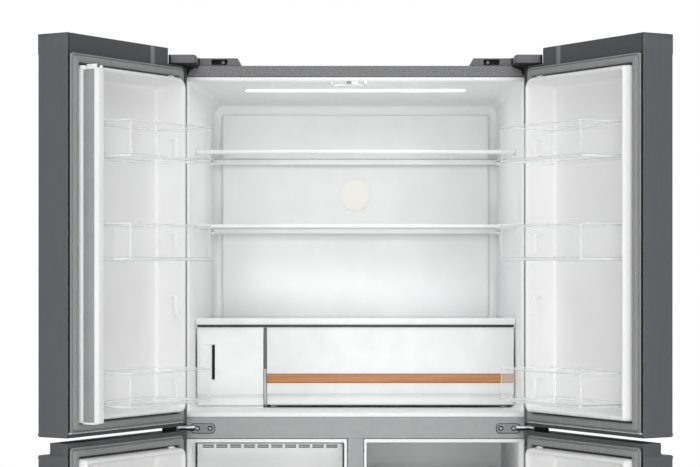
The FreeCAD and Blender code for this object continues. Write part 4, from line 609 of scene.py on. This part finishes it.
def buildCrispers():
    look = dict(band=27, groove=10, lean=10.5, soft=1.2, face=14, wall=2.6, taper=1.5, beyond=2.6, slim=12,
                rim=1, tubDrop=12, pocketX=(5, 42), pocketZ=(65, 155), pocketDeep=8.5, slot=7.5, shadeEdge=13)
    left, right = nodeBox("crisper_left"), nodeBox("crisper_right")
    shapes = []
    # for each: its box, how far the front stops above the tub's underside, 1 at the end by the side wall
    for box, lip, ends in ((left, 0.6, (1, 0)), (right, 3.5, (0, 1))):
        x, y, z = spans(box)
        inner = y[0] + look["face"]
        wide = shrink(x, *[-look["beyond"] * end for end in ends])
        shapes.append(crisperFace(wide, (y[0], inner), (z[0] + lip, z[1]), look))
        slim = shrink(x, *[look["slim"] * end + 1.5 for end in ends])
        shapes.append(drawerTub(slim, (inner - 2, y[1] - 1.5), (z[0], z[1] - look["tubDrop"]), look["wall"],
                                look["taper"]))
    smallFace, smallTub, largeFace, largeTub = shapes
    x, y, z = spans(left)
    front = y[0]
    pocketX, pocketZ = moved(x[0], look["pocketX"]), moved(z[0], look["pocketZ"])
    deep, end = front + look["pocketDeep"], pocketX[1]
    scoop = prism([(pocketX[0], front - 1), (pocketX[0] + 4, front + 0.6), (end - 12, front + 4.5),
                   (end, deep), (end, front - 1)], "z", pocketZ)
    # painted shade: a black strip at the deep end of the scoop stands in for the shade in the finger slot
    slot = softBox((end - look["slot"], end - 0.3), (front + 3.2, deep + 0.6), shrink(pocketZ, 2), 0.6)
    piece("crisper_small", [(carve(smallFace, scoop), crisperAbs), (smallTub, frostedPp), (slot, blackAndShadePp)],
          "white_plastic", "crisper_left", body="crisper_left_drawer")
    piece("crisper_large", [(largeFace, crisperAbs), (largeTub, frostedPp)], "white_plastic",
          "crisper_right", body="crisper_right_drawer")
    stripX, stripY, stripZ = spans(nodeBox("crisper_wood_strip"))
    rim, behind = look["rim"], stripY[1] + 0.5  # painted shadow: a black rim shows round the strip
    oak = softBox(stripX, (stripY[0], behind), stripZ, 0.7)
    # painted shadow: the black box just behind the oak shows as its dark outline
    joint = softBox(shrink(stripX, -rim), (stripY[0] + 1.4, behind), shrink(stripZ, -rim), 0.3)
    piece("wood_strip", [(oak, oakStrip), (joint, blackAndShadePp)], "wood", "crisper_wood_strip",
          body="crisper_right_drawer")
    between, trimY = shrink((x[1], right[0][0]), 1.1), (front + 5, front + 18)
    shadeEdge = stripZ[1] + look["shadeEdge"]  # painted shade: the trim is dark above this height and pale below
    trim = softBox(between, trimY, (shadeEdge, z[1] - 1), 0.6)
    tail = softBox(between, trimY, (z[0] + 4, shadeEdge - 0.2), 0.6)
    cover = solidBoxes("shelf_frames")[0][0][2]
    whole = shrink((x[0], right[1][0]), -look["beyond"])
    # painted shade: a dark band fills the gap between the drawer tops and the cover
    gapShade = softBox(whole, (front + 5, front + 12), (z[1] + 0.6, cover), 0.2)
    sole = softBox(x, (front + 1, front + 12), (z[0] - 7, z[0] - 0.6), 0.5)
    parts = [(trim, coverAndShadeAbs), (gapShade, darkAbs), (sole, whiteAbs), (tail, palePom)]
    piece("divider_trim", parts, "dark_plastic")


def buildFreezerDrawers():
    look = dict(face=10, wall=2.4, taper=2, columns=10, slotWide=28, slotHigh=3.4, slotDrops=(6.2, 11),
                margin=10, gripWide=70, gripDeep=5, gripDrop=46, grip=16)
    for node in sorted(freezerDrawers):
        x, y, z = spans(nodeBox(node))
        inner = y[0] + look["face"]
        tub = drawerTub(shrink(x, 1.5), (inner - 2, y[1] - 1.5), (z[0], z[1] - 8), look["wall"],
                        look["taper"])
        cutters, extra = [], []
        if node.endswith("vented"):
            pitch = (x[1] - x[0] - 2 * look["margin"]) / look["columns"]
            for column in range(look["columns"]):
                start = x[0] + look["margin"] + (pitch - look["slotWide"]) / 2 + column * pitch
                for low in (z[1] - drop for drop in look["slotDrops"]):
                    cutters.append(softBox((start, start + look["slotWide"]), (y[0] - 1, inner + 1),
                                           (low, low + look["slotHigh"]), 0))
            # painted shade: a dark sheet 5 mm behind the vent slots makes them read dark
            extra = [(softBox(shrink(x, 9), (y[0] + 5, y[0] + 6), (z[1] - 12, z[1] - 2), 0.2), coverAndShadeAbs)]
        else:  # a finger scoop under the top edge
            middle, low = sum(x) / 2, z[1] - look["gripDrop"]
            cutters.append(softBox((middle - look["gripWide"], middle + look["gripWide"]),
                                   (y[0] - 1, y[0] + look["gripDeep"]), (low, low + look["grip"]), 0))
        front = carve(softBox(x, (y[0], inner), z, 1.6), *cutters)
        piece(node + "_tub", [(front, whiteAbs), (tub, frostedPp)] + extra, "frosted_plastic", node,
              body=node + "_box")


buildCase()
buildFridgeLiner()
buildFreezerLiners()
buildDuctCover()
buildLamp()
buildShelves()
buildCrispers()
buildFreezerDrawers()
print("cabinet pieces made")


# Doors, drawn closed on the left.
doorEnd = dict(notch=77, notchWall=12, notchDrop=38, grip=35, gripDrop=28.4, roll=5.5, lip=1.4, inset=0.25)


def doorPiece(level, side, name, parts, slot, *replaced, shell=0.0):  # hung on its door
    door = f"{level}_{side}_"
    hung = [(hang(shape, side), finish) for shape, finish in parts]
    old = [door + node for node in replaced]
    return piece(door + name, hung, slot, *old, body=door + "door", shell=shell)


def buildSkin(level, side):
    look = dict(bend=4, hem=4.6, hingeHem=19, back=0.6, sheet=0.8, rollSteps=4)
    x, y, z = spans(nodeBox(f"{level}_{side}_skin", side))
    r, back, roll, lip = look["bend"], look["back"], doorEnd["roll"], doorEnd["lip"]
    start = math.acos(1 - lip / roll)
    turns = [start + (math.pi / 2 - start) * at / look["rollSteps"] for at in range(look["rollSteps"] + 1)]
    rolled = [(roll * (1 - math.cos(turn)), roll * (1 - math.sin(turn))) for turn in turns]  # rise, pull
    front = arc((x[0] + r, y[0] + r), r, 180, 270) + arc((x[1] - r, y[0] + r), r, 270, 360)
    hinge = [(x[0] + look["hingeHem"], y[1]), (x[0] + back, y[1]), (x[0], y[1] - back)]
    free = [(x[1], y[1] - back), (x[1] - back, y[1]), (x[1] - look["hem"], y[1])]
    if level == "upper":
        fold = z[1] - doorEnd["notchDrop"]
        levels = [(z[0] + rise, pull) for rise, pull in rolled] + [(fold, 0)]
        shapes = [drape(hinge + front + free, levels),
                  ribbon([(x[0], y[0] + doorEnd["notchWall"])] + front + free, "z", (fold, z[1] - lip))]
    else:
        fold = z[1] - doorEnd["gripDrop"]
        levels = [(z[0], 0)] + [(fold - rise, pull) for rise, pull in rolled[::-1]]
        shapes = [drape(hinge + front + free, levels)]
    doorPiece(level, side, "door_skin", [(shape, precoatedSteel) for shape in shapes], "door_steel", "skin",
              shell=look["sheet"])
    return x, y, z


def buildCaps(level, side, x, y, z):
    look = dict(tall=46, low=8, soft=1.2, edge=0.4, clip=(130, 146), cup=(4.2, 11), shadeSeam=(6.6, 4.4), cove=7)
    roll, inset = doorEnd["roll"], doorEnd["inset"]
    inX, inY = shrink(x, inset), (y[0] + inset, y[1])
    if level == "upper":
        floor, base, brim = z[1] - doorEnd["notchDrop"], z[1] - look["tall"], z[0] + look["low"]
        notch = softBox((x[0] - 2, x[0] + doorEnd["notch"]), (y[0] + doorEnd["notchWall"], y[1] + 3),
                        (floor, z[1] + 3), 0)
        top = carve(softBox(inX, inY, (base, z[1]), look["soft"]), notch)
        clip = softBox(moved(x[0], look["clip"]), (y[1] - 3, y[1] + 0.7), (base + 2, z[1] - 0.2), 0.5)
        bore, flange = look["cup"]
        cup = lathe("z", pin, [(bore, floor - 2), (flange, floor - 2), (flange, floor + 0.12),
                               (bore, floor + 0.12)])
        outline = arc((inY[0] + roll, z[0] + roll), roll, 180, 270)
        outline += [(inY[1], z[0]), (inY[1], brim), (inY[0], brim)]
        low = prism(outline, "x", inX, look["edge"])
        # painted shade: a black strip stands in for the dark gap between the skin's free edge and the cap
        shadeSeam = softBox([x[1] - at for at in look["shadeSeam"]], (y[1] - 1, y[1] + 0.2), (base, z[1] - 0.3), 0.2)
        parts = [(top, darkAbs), (clip, clipAbs), (cup, greyPom), (low, darkAbs), (shadeSeam, blackAndShadePp)]
    else:
        step, grip, cove = z[1] - doorEnd["gripDrop"], y[0] + doorEnd["grip"], look["cove"]
        outline = [(inY[0], step - look["low"]), (inY[1], step - look["low"]), (inY[1], z[1]), (grip, z[1])]
        outline += arc((grip - cove, step + cove), cove, 0, -90)
        outline += arc((inY[0] + roll, step - roll), roll, 90, 180)
        low = softBox(inX, inY, (z[0], z[0] + look["tall"]), look["soft"])
        parts = [(prism(outline, "x", inX, look["edge"]), gripLitAbs), (low, darkAbs)]
    doorPiece(level, side, "door_caps", parts, "dark_plastic", "end_caps")


def buildDoorLiner(level, side):
    points = nodePoints(f"{level}_{side}_liner", side)
    x, z = spans(extent(points))[::2]
    dykeX, dykeZ = spans(extent([p for p in points if p[1] > 12]))[::2]  # only the dyke reaches so deep
    skin = -12  # inner face of the door behind the seal line
    # each row: depth, in from the dyke's outer edge, share of the corner radius
    look = dict(sheet=1.0, hingeTop=dict(upper=26, lower=15), hingeLow=15, free=7, lift=4, liftDeep=30,
                liftReach=60, tab=(20, 38), tabY=(-8.2, -0.6), tabTall=4, rows=(
        (skin, -0.6, 1), (-4, 0.1, 1), (10, 0.8, 1), (14.6, 2, 0.95), (17.4, 4.4, 0.9), (18, 6.6, 0.85),
        (17.4, 9, 0.8), (14.4, 11, 0.75), (8, 12, 0.72), (-47, 20.6, 0.6), (-51.5, 22, 0.6),
        (-54, 24.6, 0.5), (-55, 29, 0.4)))
    corners = (look["free"], look["hingeTop"][level], look["hingeLow"], look["free"])
    rings = [ring("y", deep, shrink(x, 18, 0.4), shrink(z, 0.4), 2, 6) for deep in (skin - 2, skin)]
    rings += stack("y", dykeX, dykeZ, [(deep, inset, tuple(r * share for r in corners))
                                       for deep, inset, share in look["rows"]], 6)
    points, faces = loft(rings, capStart=False, flip=True)
    raised = []
    for wide, deep, high in points:  # the dyke stands taller by the hinge
        near = max(0, 1 - (wide - dykeX[0]) / look["liftReach"])
        raised.append((wide, deep + look["lift"] * max(0, (deep - skin) / look["liftDeep"]) * near, high))
    doorPiece(level, side, "door_liner", [((raised, faces), doorHips)], "white_liner", "liner",
              shell=look["sheet"])
    tab = softBox(moved(dykeX[0], look["tab"]), look["tabY"],  # stays ahead of the mouth when shut
                  (dykeZ[1] - 3, dykeZ[1] + look["tabTall"]), 1)
    doorPiece(level, side, "liner_tab", [(tab, doorHips)], "white_liner")
    return dykeX


def buildSeal(level, side):
    # each row: depth, in from the outer edge, corner radius
    look = dict(freeIn=5, groove=3.6, rows=(
        (-12, 0.6, 9), (-9.5, 0, 9), (-7.6, 0.8, 9), (-7.0, 3.2, 8), (-8.8, 4.2, 8), (-8.8, 5.6, 7),
        (-5.0, 6.4, 7), (-1.8, 7.2, 6), (-0.5, 9, 6), (-0.3, 13, 5), (-0.5, 18.5, 4), (-1.8, 20.4, 4),
        (-5.6, 21, 4), (-8.4, 21.6, 4), (-12, 21.8, 3)), foot=(
        (-11.9, 21.6, 3), (-8.8, 21.6, 3), (-9.6, 23.5, 3), (-10.6, 25.9, 3), (-11.9, 25.9, 3)))
    x, z = spans(nodeBox(f"{level}_{side}_gasket", side))[::2]
    x = shrink(x, 0, look["freeIn"])
    band, foot = (loft(stack("y", x, z, look[name], 4), loop=True) for name in ("rows", "foot"))
    # painted shade: a black strip along the free edge stands in for the dark gap by the skin's hem
    groove = softBox((x[1] - 0.5, x[1] + look["groove"]), (-12.4, -11.2), shrink(z, 1), 0.2)
    # painted shade: the dark foot along the inner edge stands in for the shadow gap to the dyke
    parts = [(band, softPvc), (foot, darkAbs), (groove, blackAndShadePp)]
    doorPiece(level, side, "door_seal", parts, "seal_vinyl", "gasket")


def buildFoam(level, side, x, y, z):
    look = dict(side=3, deep=(2, 37), ends=dict(upper=70, lower=60), soft=6)
    lump = softBox(shrink(x, look["side"]), moved(y[0], look["deep"]), shrink(z, look["ends"][level]),
                   look["soft"])
    doorPiece(level, side, "door_foam", [(lump, puFoam)], "foam", "foam")


def buildLugs(side, dykeX, boxes):
    # hooked ribs on the tray's side walls that carry the bins, one set left unused
    look = dict(tall=47, deep=7, arm=21, armTall=4, wall=12.6, sunk=2, rise=(6, 19, 15), spare=0.57)
    feet = [box[0][2] + rise for box, rise in zip(boxes, look["rise"])]
    feet.append(feet[0] + (feet[1] - feet[0]) * look["spare"])
    shapes = []
    for foot in feet:
        top = foot + look["tall"]
        for wall, way in ((dykeX[0] + look["wall"], 1), (dykeX[1] - look["wall"], -1)):
            rib, arm = (sorted((wall - way * look["sunk"], wall + way * deep))
                        for deep in (look["deep"], look["deep"] + 1))
            shapes.append(softBox(rib, (-4, 3), (foot, top), 1.6))
            shapes.append(softBox(arm, (3 - look["arm"], 1), (top - look["armTall"], top), 1.4))
    # painted light: the lugs take the brighter white to stand in for their lit edges
    doorPiece("upper", side, "bin_lugs", [(join(*shapes), mullionAndLitLugAbs)], "white_liner")


def buildBins(side, boxes):
    look = dict(wall=2.4, taper=1.0, corner=2.5, rim=3, foot=7, post=3.4, line=0.9, out=4)
    t, r, line, post = look["taper"], look["corner"], look["line"], look["post"]
    section = ((0.6, post), (0.9, 2.6), (2.6, 0.9), (post, 0.6), (post, 1.6), (1.6, post))  # of a corner
    walls, pale, grey, bright = [], [], [], []
    corners = {(1, 1): pale, (-1, 1): pale, (-1, -1): walls, (1, -1): bright}  # thickest by the hinge
    for box in boxes:
        x, y, z = spans(box)
        x, y = shrink(x, 0.6, 1), shrink(y, 1, -look["out"])
        brim, foot = z[1] - look["rim"], z[0] + look["foot"]
        rows = ((z[1] - 1, 0.6, r), (z[0] + 2.5, t + 0.6, r), (z[0] + 0.8, t + 1.6, 5),
                (z[0] + 0.4, t + 4, 4))
        walls.append(loft(stack("z", x, y, rows, 4), capStart=False))
        for group, low, high, out, thick in (  # closed rings round the tub between two heights
                (pale, brim, z[1], 0.7, look["wall"] + 1.4), (pale, z[0] + line, foot - line, 0.5, 1.2),
                (grey, brim - line, brim, 0.5, 1.2), (grey, z[0] + 0.1, z[0] + line, 0.4, 1.6),
                (grey, foot - line, foot, 0.5, 1.2)):
            outer = [(at, t * (1 - (at - z[0]) / (z[1] - z[0])) - out, r) for at in (low, high)]
            inner = [(at, inset + thick, r) for at, inset, r in outer[::-1]]
            group.append(loft(stack("z", x, y, outer + inner, 4), loop=True))
        for a, wayA in ((x[0], 1), (x[1], -1)):
            for b, wayB in ((y[0], 1), (y[1], -1)):
                ends = [[(a + wayA * (lean + u), b + wayB * (lean + v), high) for u, v in section]
                        for high, lean in ((foot + 0.5, t), (brim - line - 0.5, 0))]
                corners[wayA, wayB].append(loft(ends))
    tubs = doorPiece("upper", side, "bin_tubs", [(join(*walls), clearPs)], "clear_plastic", "bins")
    rims = doorPiece("upper", side, "bin_rims", [(join(*pale), clearRim), (join(*grey), clearEdge),
                                                 (join(*bright), clearCorner)], "clear_plastic")
    tubs.visible_shadow = rims.visible_shadow = False  # clear plastic hardly shades the wall behind


def buildMullion():
    look = dict(start=-5, wide=58, thick=20, soft=1.6, foot=1, footDrop=2.5, footReach=(14, 45), pinTall=11,
                plate=(15, 46), tab=3.2, tabs=((6, 20, 7), (24, 52, 9.2)),  # each tab: from, to, height
                guide=(13, 50), pivot=(2.95, 3.55))  # in from the outer face, depth
    box = nodeBox("mullion_body", "left")
    outer, thick, y = nodeBox("mullion_strip", "left")[1][0], look["thick"], look["start"]
    low, high = box[0][2] + look["foot"], box[1][2] - look["pinTall"]
    bar = softBox((outer - thick, outer), (y, y + look["wide"]), (low, high), look["soft"])
    sheet = softBox((outer - 0.7, outer + 0.15), moved(y, look["plate"]), (low + 2, high - 2), 0.3)
    cap = join(*[softBox((outer - look["tab"], outer), (y + first, y + last), (high - 3, high + tall), 0.8)
                 for first, last, tall in look["tabs"]])
    foot = softBox((outer - thick + 1, outer - 0.2), moved(y, look["footReach"]),
                   (low - look["footDrop"], low + 2), 1.2)
    guideAt, pivotAt = ((outer - inset, deep) for inset, deep in (look["guide"], look["pivot"]))
    guidePin = lathe("z", guideAt, [(4, high), (4, high + 5.4), (3.2, high + 6), (0.01, high + 6.2)], 20)
    pivot = lathe("z", pivotAt, [(2.5, box[0][2] + 5), (2.5, high + 7)], 16)
    parts = [(hang(shape, "left"), mullionAndLitLugAbs) for shape in (bar, cap, foot, pivot, guidePin)]
    piece("mullion_bar", parts, "white_plastic", "mullion_body", body="flip_mullion")
    plate = hang(sheet, "left")
    piece("mullion_plate", [(plate, greyPaint)], "strip_steel", "mullion_strip", body="flip_mullion")


for level in ("upper", "lower"):
    for side in ("left", "right"):
        size = buildSkin(level, side)
        buildCaps(level, side, *size)
        trayX = buildDoorLiner(level, side)
        buildSeal(level, side)
        buildFoam(level, side, *size)
        if level == "upper":
            binBoxes = solidBoxes(f"upper_{side}_bins", side)
            buildLugs(side, trayX, binBoxes)
            buildBins(side, binBoxes)
buildMullion()
print("door pieces made")


# Hinges and the mullion's guide.
def buildHingeCovers():
    look = dict(block=67, blockTall=21, tail=173, tailTall=18.5, slant=10, round=9, window=(99, 138),
                windowDeep=14, screwIn=11, screwUp=9)
    x, y = spans(nodeBox("hinge_covers"))[:2]
    left, base, r = x[0], caseZ[1], look["round"]
    x, top, tailTop = (left, left + look["block"]), base + look["blockTall"], base + look["tailTall"]
    rows = ((base + 0.2, 0, r), (top - 5, 0, r), (top - 1.6, 1.4, r), (top, 5, r - 3))
    block = loft(stack("z", x, y, rows, 6))
    end, start = left + look["tail"], x[1] - 8
    outline = [(start, base + 0.2), (end, base + 0.2), (end - look["slant"], tailTop), (start, tailTop)]
    window = moved(left, look["window"])
    tail = carve(prism(outline, "y", (2, y[1]), 1.6),
                 softBox(window, (0, look["windowDeep"]), (base + 2, tailTop - 3), 0))
    # painted shade: a black sheet behind the window stands in for the dark of the recess
    windowShade = softBox(shrink(window, -1), (13.2, 15), (base + 1, tailTop - 2), 0.2)
    a, b = window[1] - look["screwIn"], base + look["screwUp"]
    screw = carve(lathe("y", (a, b), [(4.6, 13.4), (4.6, 11), (3.6, 10), (0.01, 9.6)], 20),
                  softBox((a - 3, a + 3), (8, 11), (b - 0.6, b + 0.6), 0))
    foot = softBox(shrink(x, -0.6), shrink(y, -0.6, 0), (base - 4.6, base + 0.8), 0.4)  # painted shadow: a black band under the block
    # painted shade: a black strip between block and tail stands in for the gap's shade
    shadeSeam = softBox((x[1] - 1, x[1] + 3.4), (1.2, y[1] - 2), (base + 0.2, tailTop + 0.3), 0.2)
    # painted shade: the block's outer side is drawn black
    side = loft([ring("x", at, shrink(y, inset), (base - 4, top - inset), 7)
                 for at, inset in ((x[0] + 5, -0.3), (x[0] + 0.6, -0.3), (x[0] - 0.2, 1.2))])
    # painted shadow: a black wedge on the flange below the block stands in for the block's cast shadow
    a, b = mouthX[0] + 3, mouthTop + 3
    outline = [(a, b), (a + 4, b), (a + 9, b + 11), (a + 30, base - 1), (a, base - 1)]
    corner = prism(outline, "y", (-0.25, 1))
    parts = [(pair(join(block, tail)), coverAndShadeAbs), (pair(join(windowShade, foot, shadeSeam, side, corner)), blackAndShadePp),
             (pair(screw), hingePaint)]
    piece("hinge_caps", parts, "dark_plastic", "hinge_covers")


def buildGuideInsert():
    look = dict(x=(-21, -10), deep=(0.4, 2.2), drop=7.5)  # grey wear pad on the front of the guide's island
    y, z = spans(nodeBox("mullion_guide"))[1:]
    pad = softBox(look["x"], moved(y[0], look["deep"]), (z[0] - 0.1, z[0] + look["drop"]), 0.3)
    piece("guide_pad", [(pad, greyPom)], "white_plastic")


def buildMidHinges():
    look = dict(plate=(47, 105), plateZ=(-16, 7), screws=(63, 94), round=9, arm=7, armWide=14, rise=29)
    left = solidBoxes("mid_hinges")[0][0][0]
    middle, r = railUnder + look["rise"], look["round"]  # half way up the gap between the doors
    x, z = moved(left, look["plate"]), moved(middle, look["plateZ"])
    plate = loft(stack("y", x, z, ((0, 0, r), (-2.2, 0, r), (-3, 0.9, r - 1)), 6))
    # painted shadow: a black outline round the plate
    line = loft([ring("y", at, shrink(x, -1.3), shrink(z, -1.5, -0.8), r + 1, 6) for at in (-0.05, -0.5)])
    rings, heads = [], []
    for at in look["screws"]:
        spot = (left + at, sum(z) / 2)
        rings.append(lathe("y", spot, [(6.2, -2.8), (6.2, -3.2), (5.4, -3.3)], 20))
        heads.append(lathe("y", spot, [(3.4, -3.2), (3.4, -4.4), (2.6, -5.2), (1.1, -5.3), (0.9, -4.6),
                                       (0.01, -4.6)], 20))
    armZ, half = (middle - look["arm"] + 2, middle + 2), look["armWide"] / 2
    arm = prism([(pin[0] - half, 0), *arc(pin, half, 180, 360, 10), (pin[0] + half, -16),
                 (pin[0] + 18, -11), (x[0] + 10, -9), (x[0] + 16, -2.6), (x[0] + 16, 0)], "z", armZ, 1.6)
    bush = lathe("z", pin, [(8, middle - 5.6), (8, middle + 5.6)], 24)
    under = softBox((pin[0] + 12, x[0] + 9), (-8, -1), (armZ[0] - 5, armZ[0] + 0.4), 1)  # painted shadow: a black block under the arm
    ends = ((3.2, -29), (4, -27.5), (4, 31), (3.2, 32.5))
    rod = lathe("z", pin, [(r, middle + at) for r, at in ends], 20)
    parts = [(pair(plate), hingePaint), (pair(join(arm, rod)), zincSteel), (pair(join(*heads)), palePom),
             (pair(join(bush, under, line, *rings)), blackAndShadePp)]
    piece("middle_hinges", parts, "hinge_steel", "mid_hinges")


def buildDoorStops():
    # black blocks beside the pin that end the swing, one on each door's edge
    look = dict(x=(9.5, 49), y=(-2.5, 15.5), tall=5.7, sunk=0.5, slant=8, soft=0.6)
    x, y = moved(pin[0], look["x"]), moved(pin[1], look["y"])
    slant = look["slant"]
    outline = [(x[0], y[0]), (x[1] - slant, y[0]), (x[1], y[0] + slant), (x[1], y[1]), (x[0], y[1])]
    for side in ("left", "right"):
        low, high = nodeBox(f"lower_{side}_skin", side)[1][2], nodeBox(f"upper_{side}_skin", side)[0][2]
        for level, z in (("lower", (low - look["sunk"], low + look["tall"])),
                         ("upper", (high - look["tall"], high + look["sunk"]))):
            block = prism(outline, "z", z, look["soft"])
            doorPiece(level, side, "door_stop", [(block, blackAndShadePp)], "dark_plastic")


# Back and base.
def buildBack():
    # each rib row: out from the sheet as a share, in from the sides, half height, corner radius
    look = dict(rib=1.6, ribs=6, ribRows=((0.7, 73, 6, 6), (1, 76, 3, 3)), ribFoot=(70, 9, 9), margin=11,
                screwPitch=190, screwStart=30, coverScrews=(70, 180), hoods=(5, 9), hoodPitch=(120, 18),
                hoodStart=(-310, 80), hoodWide=(-2, 92), hoodOut=6)
    x, y, z = spans(nodeBox("back_panel"))
    back, edge = y[1], x[1] - look["margin"]

    def screw(wide, high):
        profile = ((5, -0.2), (5, 1), (3.8, 2.2), (0.01, 2.4))
        return lathe("y", (wide, high), [(r, back + out) for r, out in profile], 16)
    ribs = []
    for at in range(look["ribs"]):
        middle = z[0] + (z[1] - z[0]) * (at + 0.5) / look["ribs"]
        rows = [(back - 0.2, *look["ribFoot"])]
        rows += [(back + look["rib"] * share, inset, half, r) for share, inset, half, r in look["ribRows"]]
        ribs.append(loft([ring("y", deep, shrink(x, inset), (middle - half, middle + half), r)
                          for deep, inset, half, r in rows], capStart=False))
    screws = [pair(screw(edge, z[0] + look["screwStart"] + at * look["screwPitch"]))
              for at in range(int((z[1] - z[0]) // look["screwPitch"]) + 1)]
    sheet = join(softBox(x, y, z, 0.2), *ribs)
    piece("rear_sheet", [(sheet, galvanised), (join(*screws), zincSteel)], "galvanised", "back_panel")
    hoods = []
    for column in range(look["hoods"][0]):
        for row in range(look["hoods"][1]):
            start, low = (first + at * pitch for first, at, pitch in
                          zip(look["hoodStart"], (column, row), look["hoodPitch"]))
            outline = [(back - 0.1, low + 6.4)] + arc((back, low + 6.4), look["hoodOut"], 90, 0)[1:]
            outline += [(back + 5.2, low + 4.6), (back - 0.1, low + 5.6)]
            hoods.append(prism(outline, "x", moved(start, look["hoodWide"])))
    heights = (*look["coverScrews"], nodeBox("machine_cover")[1][2] - 14)
    corners = [screw(way * edge, high) for way in (-1, 1) for high in heights]
    piece("louvre_hoods", [(join(*hoods), galvanised), (join(*corners), zincSteel)], "galvanised")


buildHingeCovers()
buildGuideInsert()
buildMidHinges()
buildDoorStops()
buildBack()
print("hinges and back made")

# CAD nodes that stay: softened edges and their own finish.
kept = dict(
    base_pan=(galvanised, 0.3), insulation=(puFoam, 0), cross_rail=(greyPaint, 0.8),
    center_post=(greyPaint, 0.8), mullion_guide=(formedHips, 0.8), crisper_rails=(whiteAbs, 0.8),
    top_hinges=(blackEnamel, 0.5), bottom_hinges=(zincSteel, 0.6), toe_grille=(darkAbs, 0.8),
    compressor=(blackEnamel, 1.0), condenser_coil=(drawnCopper, 0), machine_cover=(galvanised, 0),
    evaporator_coil=(finAluminium, 0), fan_motors=(blackAndShadePp, 0.8), levelling_feet=(blackAndShadePp, 0.6),
    evaporator_fan=(whiteAbs, 0.3), condenser_fan=(blackAndShadePp, 0.3), rear_rollers=(greyPom, 0.6))
softEdge = dict(weld=0.00002, steps=2, angle=35)
for name, (finish, soft) in kept.items():
    node = nodes[name]
    for slot in node.material_slots:
        slot.material = finish
    weld = node.modifiers.new("weld", "WELD")
    weld.merge_threshold = softEdge["weld"]
    if soft:
        edge = node.modifiers.new("soft edge", "BEVEL")
        edge.width, edge.segments, edge.limit_method = soft * mm, softEdge["steps"], "ANGLE"
        edge.angle_limit = math.radians(softEdge["angle"])
        edge.harden_normals = True
print("kept nodes finished")


# Studio: pale floor, white surround, soft lights, the camera of the picture. Sizes and places in metres.
def buildFloor():
    look = dict(reach=9, colours=("#F3F3F2", "#F6F6F5"), fade=(0.28, 0.72), glow=0.42)
    reach = look["reach"]
    mesh = bpy.data.meshes.new("floor")
    mesh.from_pydata([(-reach, -reach, 0), (reach, -reach, 0), (reach, reach, 0), (-reach, reach, 0)], [],
                     [(0, 1, 2, 3)])
    floor = show("floor", mesh)
    paint = surface("paleStudioFloor", dict(  # seamless painted floor, faint unevenness
        colours=look["colours"], grain=400, rough=(0.7, 0.8)))
    mesh.materials.append(paint)
    tree = paint.node_tree
    place = addNode(tree, "TexCoord", {}).outputs["Object"]
    sized = addNode(tree, "Mapping", {"Vector": place, "Scale": [1 / reach] * 3})
    radial = addNode(tree, "TexGradient", {"Vector": sized}, gradient_type="SPHERICAL")
    fade = addNode(tree, "MapRange", {"Value": radial.outputs["Fac"], "From Min": look["fade"][0],
                                      "From Max": look["fade"][1]}, interpolation_type="SMOOTHSTEP")
    path = addNode(tree, "LightPath", {})  # pale to the eye, without more light on the object
    glow = addNode(tree, "Math", {0: path.outputs["Is Camera Ray"], 1: look["glow"]}, operation="MULTIPLY")
    wire(tree, tree.nodes["Principled BSDF"], {"Alpha": fade, "Emission Strength": glow,
                                               "Emission Color": linear("#FFFFFF")})


def buildSurround():  # white to the eye and in gloss, weaker as a light
    look = dict(light=0.18, seen=1.0)
    world = bpy.data.worlds.new("whiteSurround")
    world.use_nodes = True
    bpy.context.scene.world = world
    tree = world.node_tree
    tree.nodes.clear()
    path = addNode(tree, "LightPath", {}).outputs
    seen = addNode(tree, "Math", {0: path["Is Camera Ray"], 1: path["Is Glossy Ray"]}, operation="ADD")
    clear = addNode(tree, "Math", {0: seen, 1: path["Is Transmission Ray"]}, operation="ADD",
                    use_clamp=True)
    light, white = (addNode(tree, "Background", {"Color": (1, 1, 1, 1), "Strength": look[name]})
                    for name in ("light", "seen"))
    mixed = addNode(tree, "MixShader", {0: clear, 1: light, 2: white})
    addNode(tree, "OutputWorld", {"Surface": mixed})


def buildLights():
    look = dict(  # power, size, place, aim, spread in degrees
        overheadLight=(66, (4.0, 2.4), (0, -2.8, 4.0), (0, 0.1, 1.0), 180),
        frontLight=(100, (4.4, 1.4), (0.3, -6.0, 0.7), (0, 0, 0.9), 180),
        leftLight=(18, (0.8, 1.4), (-2.6, -2.6, 0.45), (-0.4, 0, 0.9), 180),
        rightLight=(14, (0.8, 1.4), (2.6, -2.6, 0.45), (0.4, 0, 0.9), 180),
        insideLight=(0.4, (0.72, 0.7), (0, -0.06, 1.36), (0, 0.5, 1.3), 180),
        coverLight=(0.21, (0.74, 0.08), (0, 0.12, 1.2), (0, 0.56, 1.06), 64),
        fridgeLamp=(0.56, (0.5, 0.04), (0, 0.216, 1.702), (0, 0.2, 0.9), 180))
    for name, (power, size, place, aim, spread) in look.items():
        data = bpy.data.lights.new(name, "AREA")
        data.energy, data.shape, data.size, data.size_y = power, "RECTANGLE", size[0], size[1]
        data.spread = math.radians(spread)
        lamp = show(name, data)
        lamp.location = place
        lamp.rotation_euler = (Vector(aim) - Vector(place)).to_track_quat("-Z", "Y").to_euler()


def buildCamera():
    look = dict(lens=104.8, sensor=36, place=(0, -4.971, 1.247), shiftX=-5.5 / 700, shiftY=38.4 / 700)
    data = bpy.data.cameras.new("camera")
    data.lens, data.sensor_width = look["lens"], look["sensor"]
    data.shift_x, data.shift_y = look["shiftX"], look["shiftY"]
    camera = show("camera", data)
    camera.location = look["place"]
    camera.rotation_euler = (math.radians(90), 0, 0)
    bpy.context.scene.camera = camera


bpy.context.scene.view_settings.view_transform = "Standard"
buildFloor()
buildSurround()
buildLights()
buildCamera()
print("studio ready")
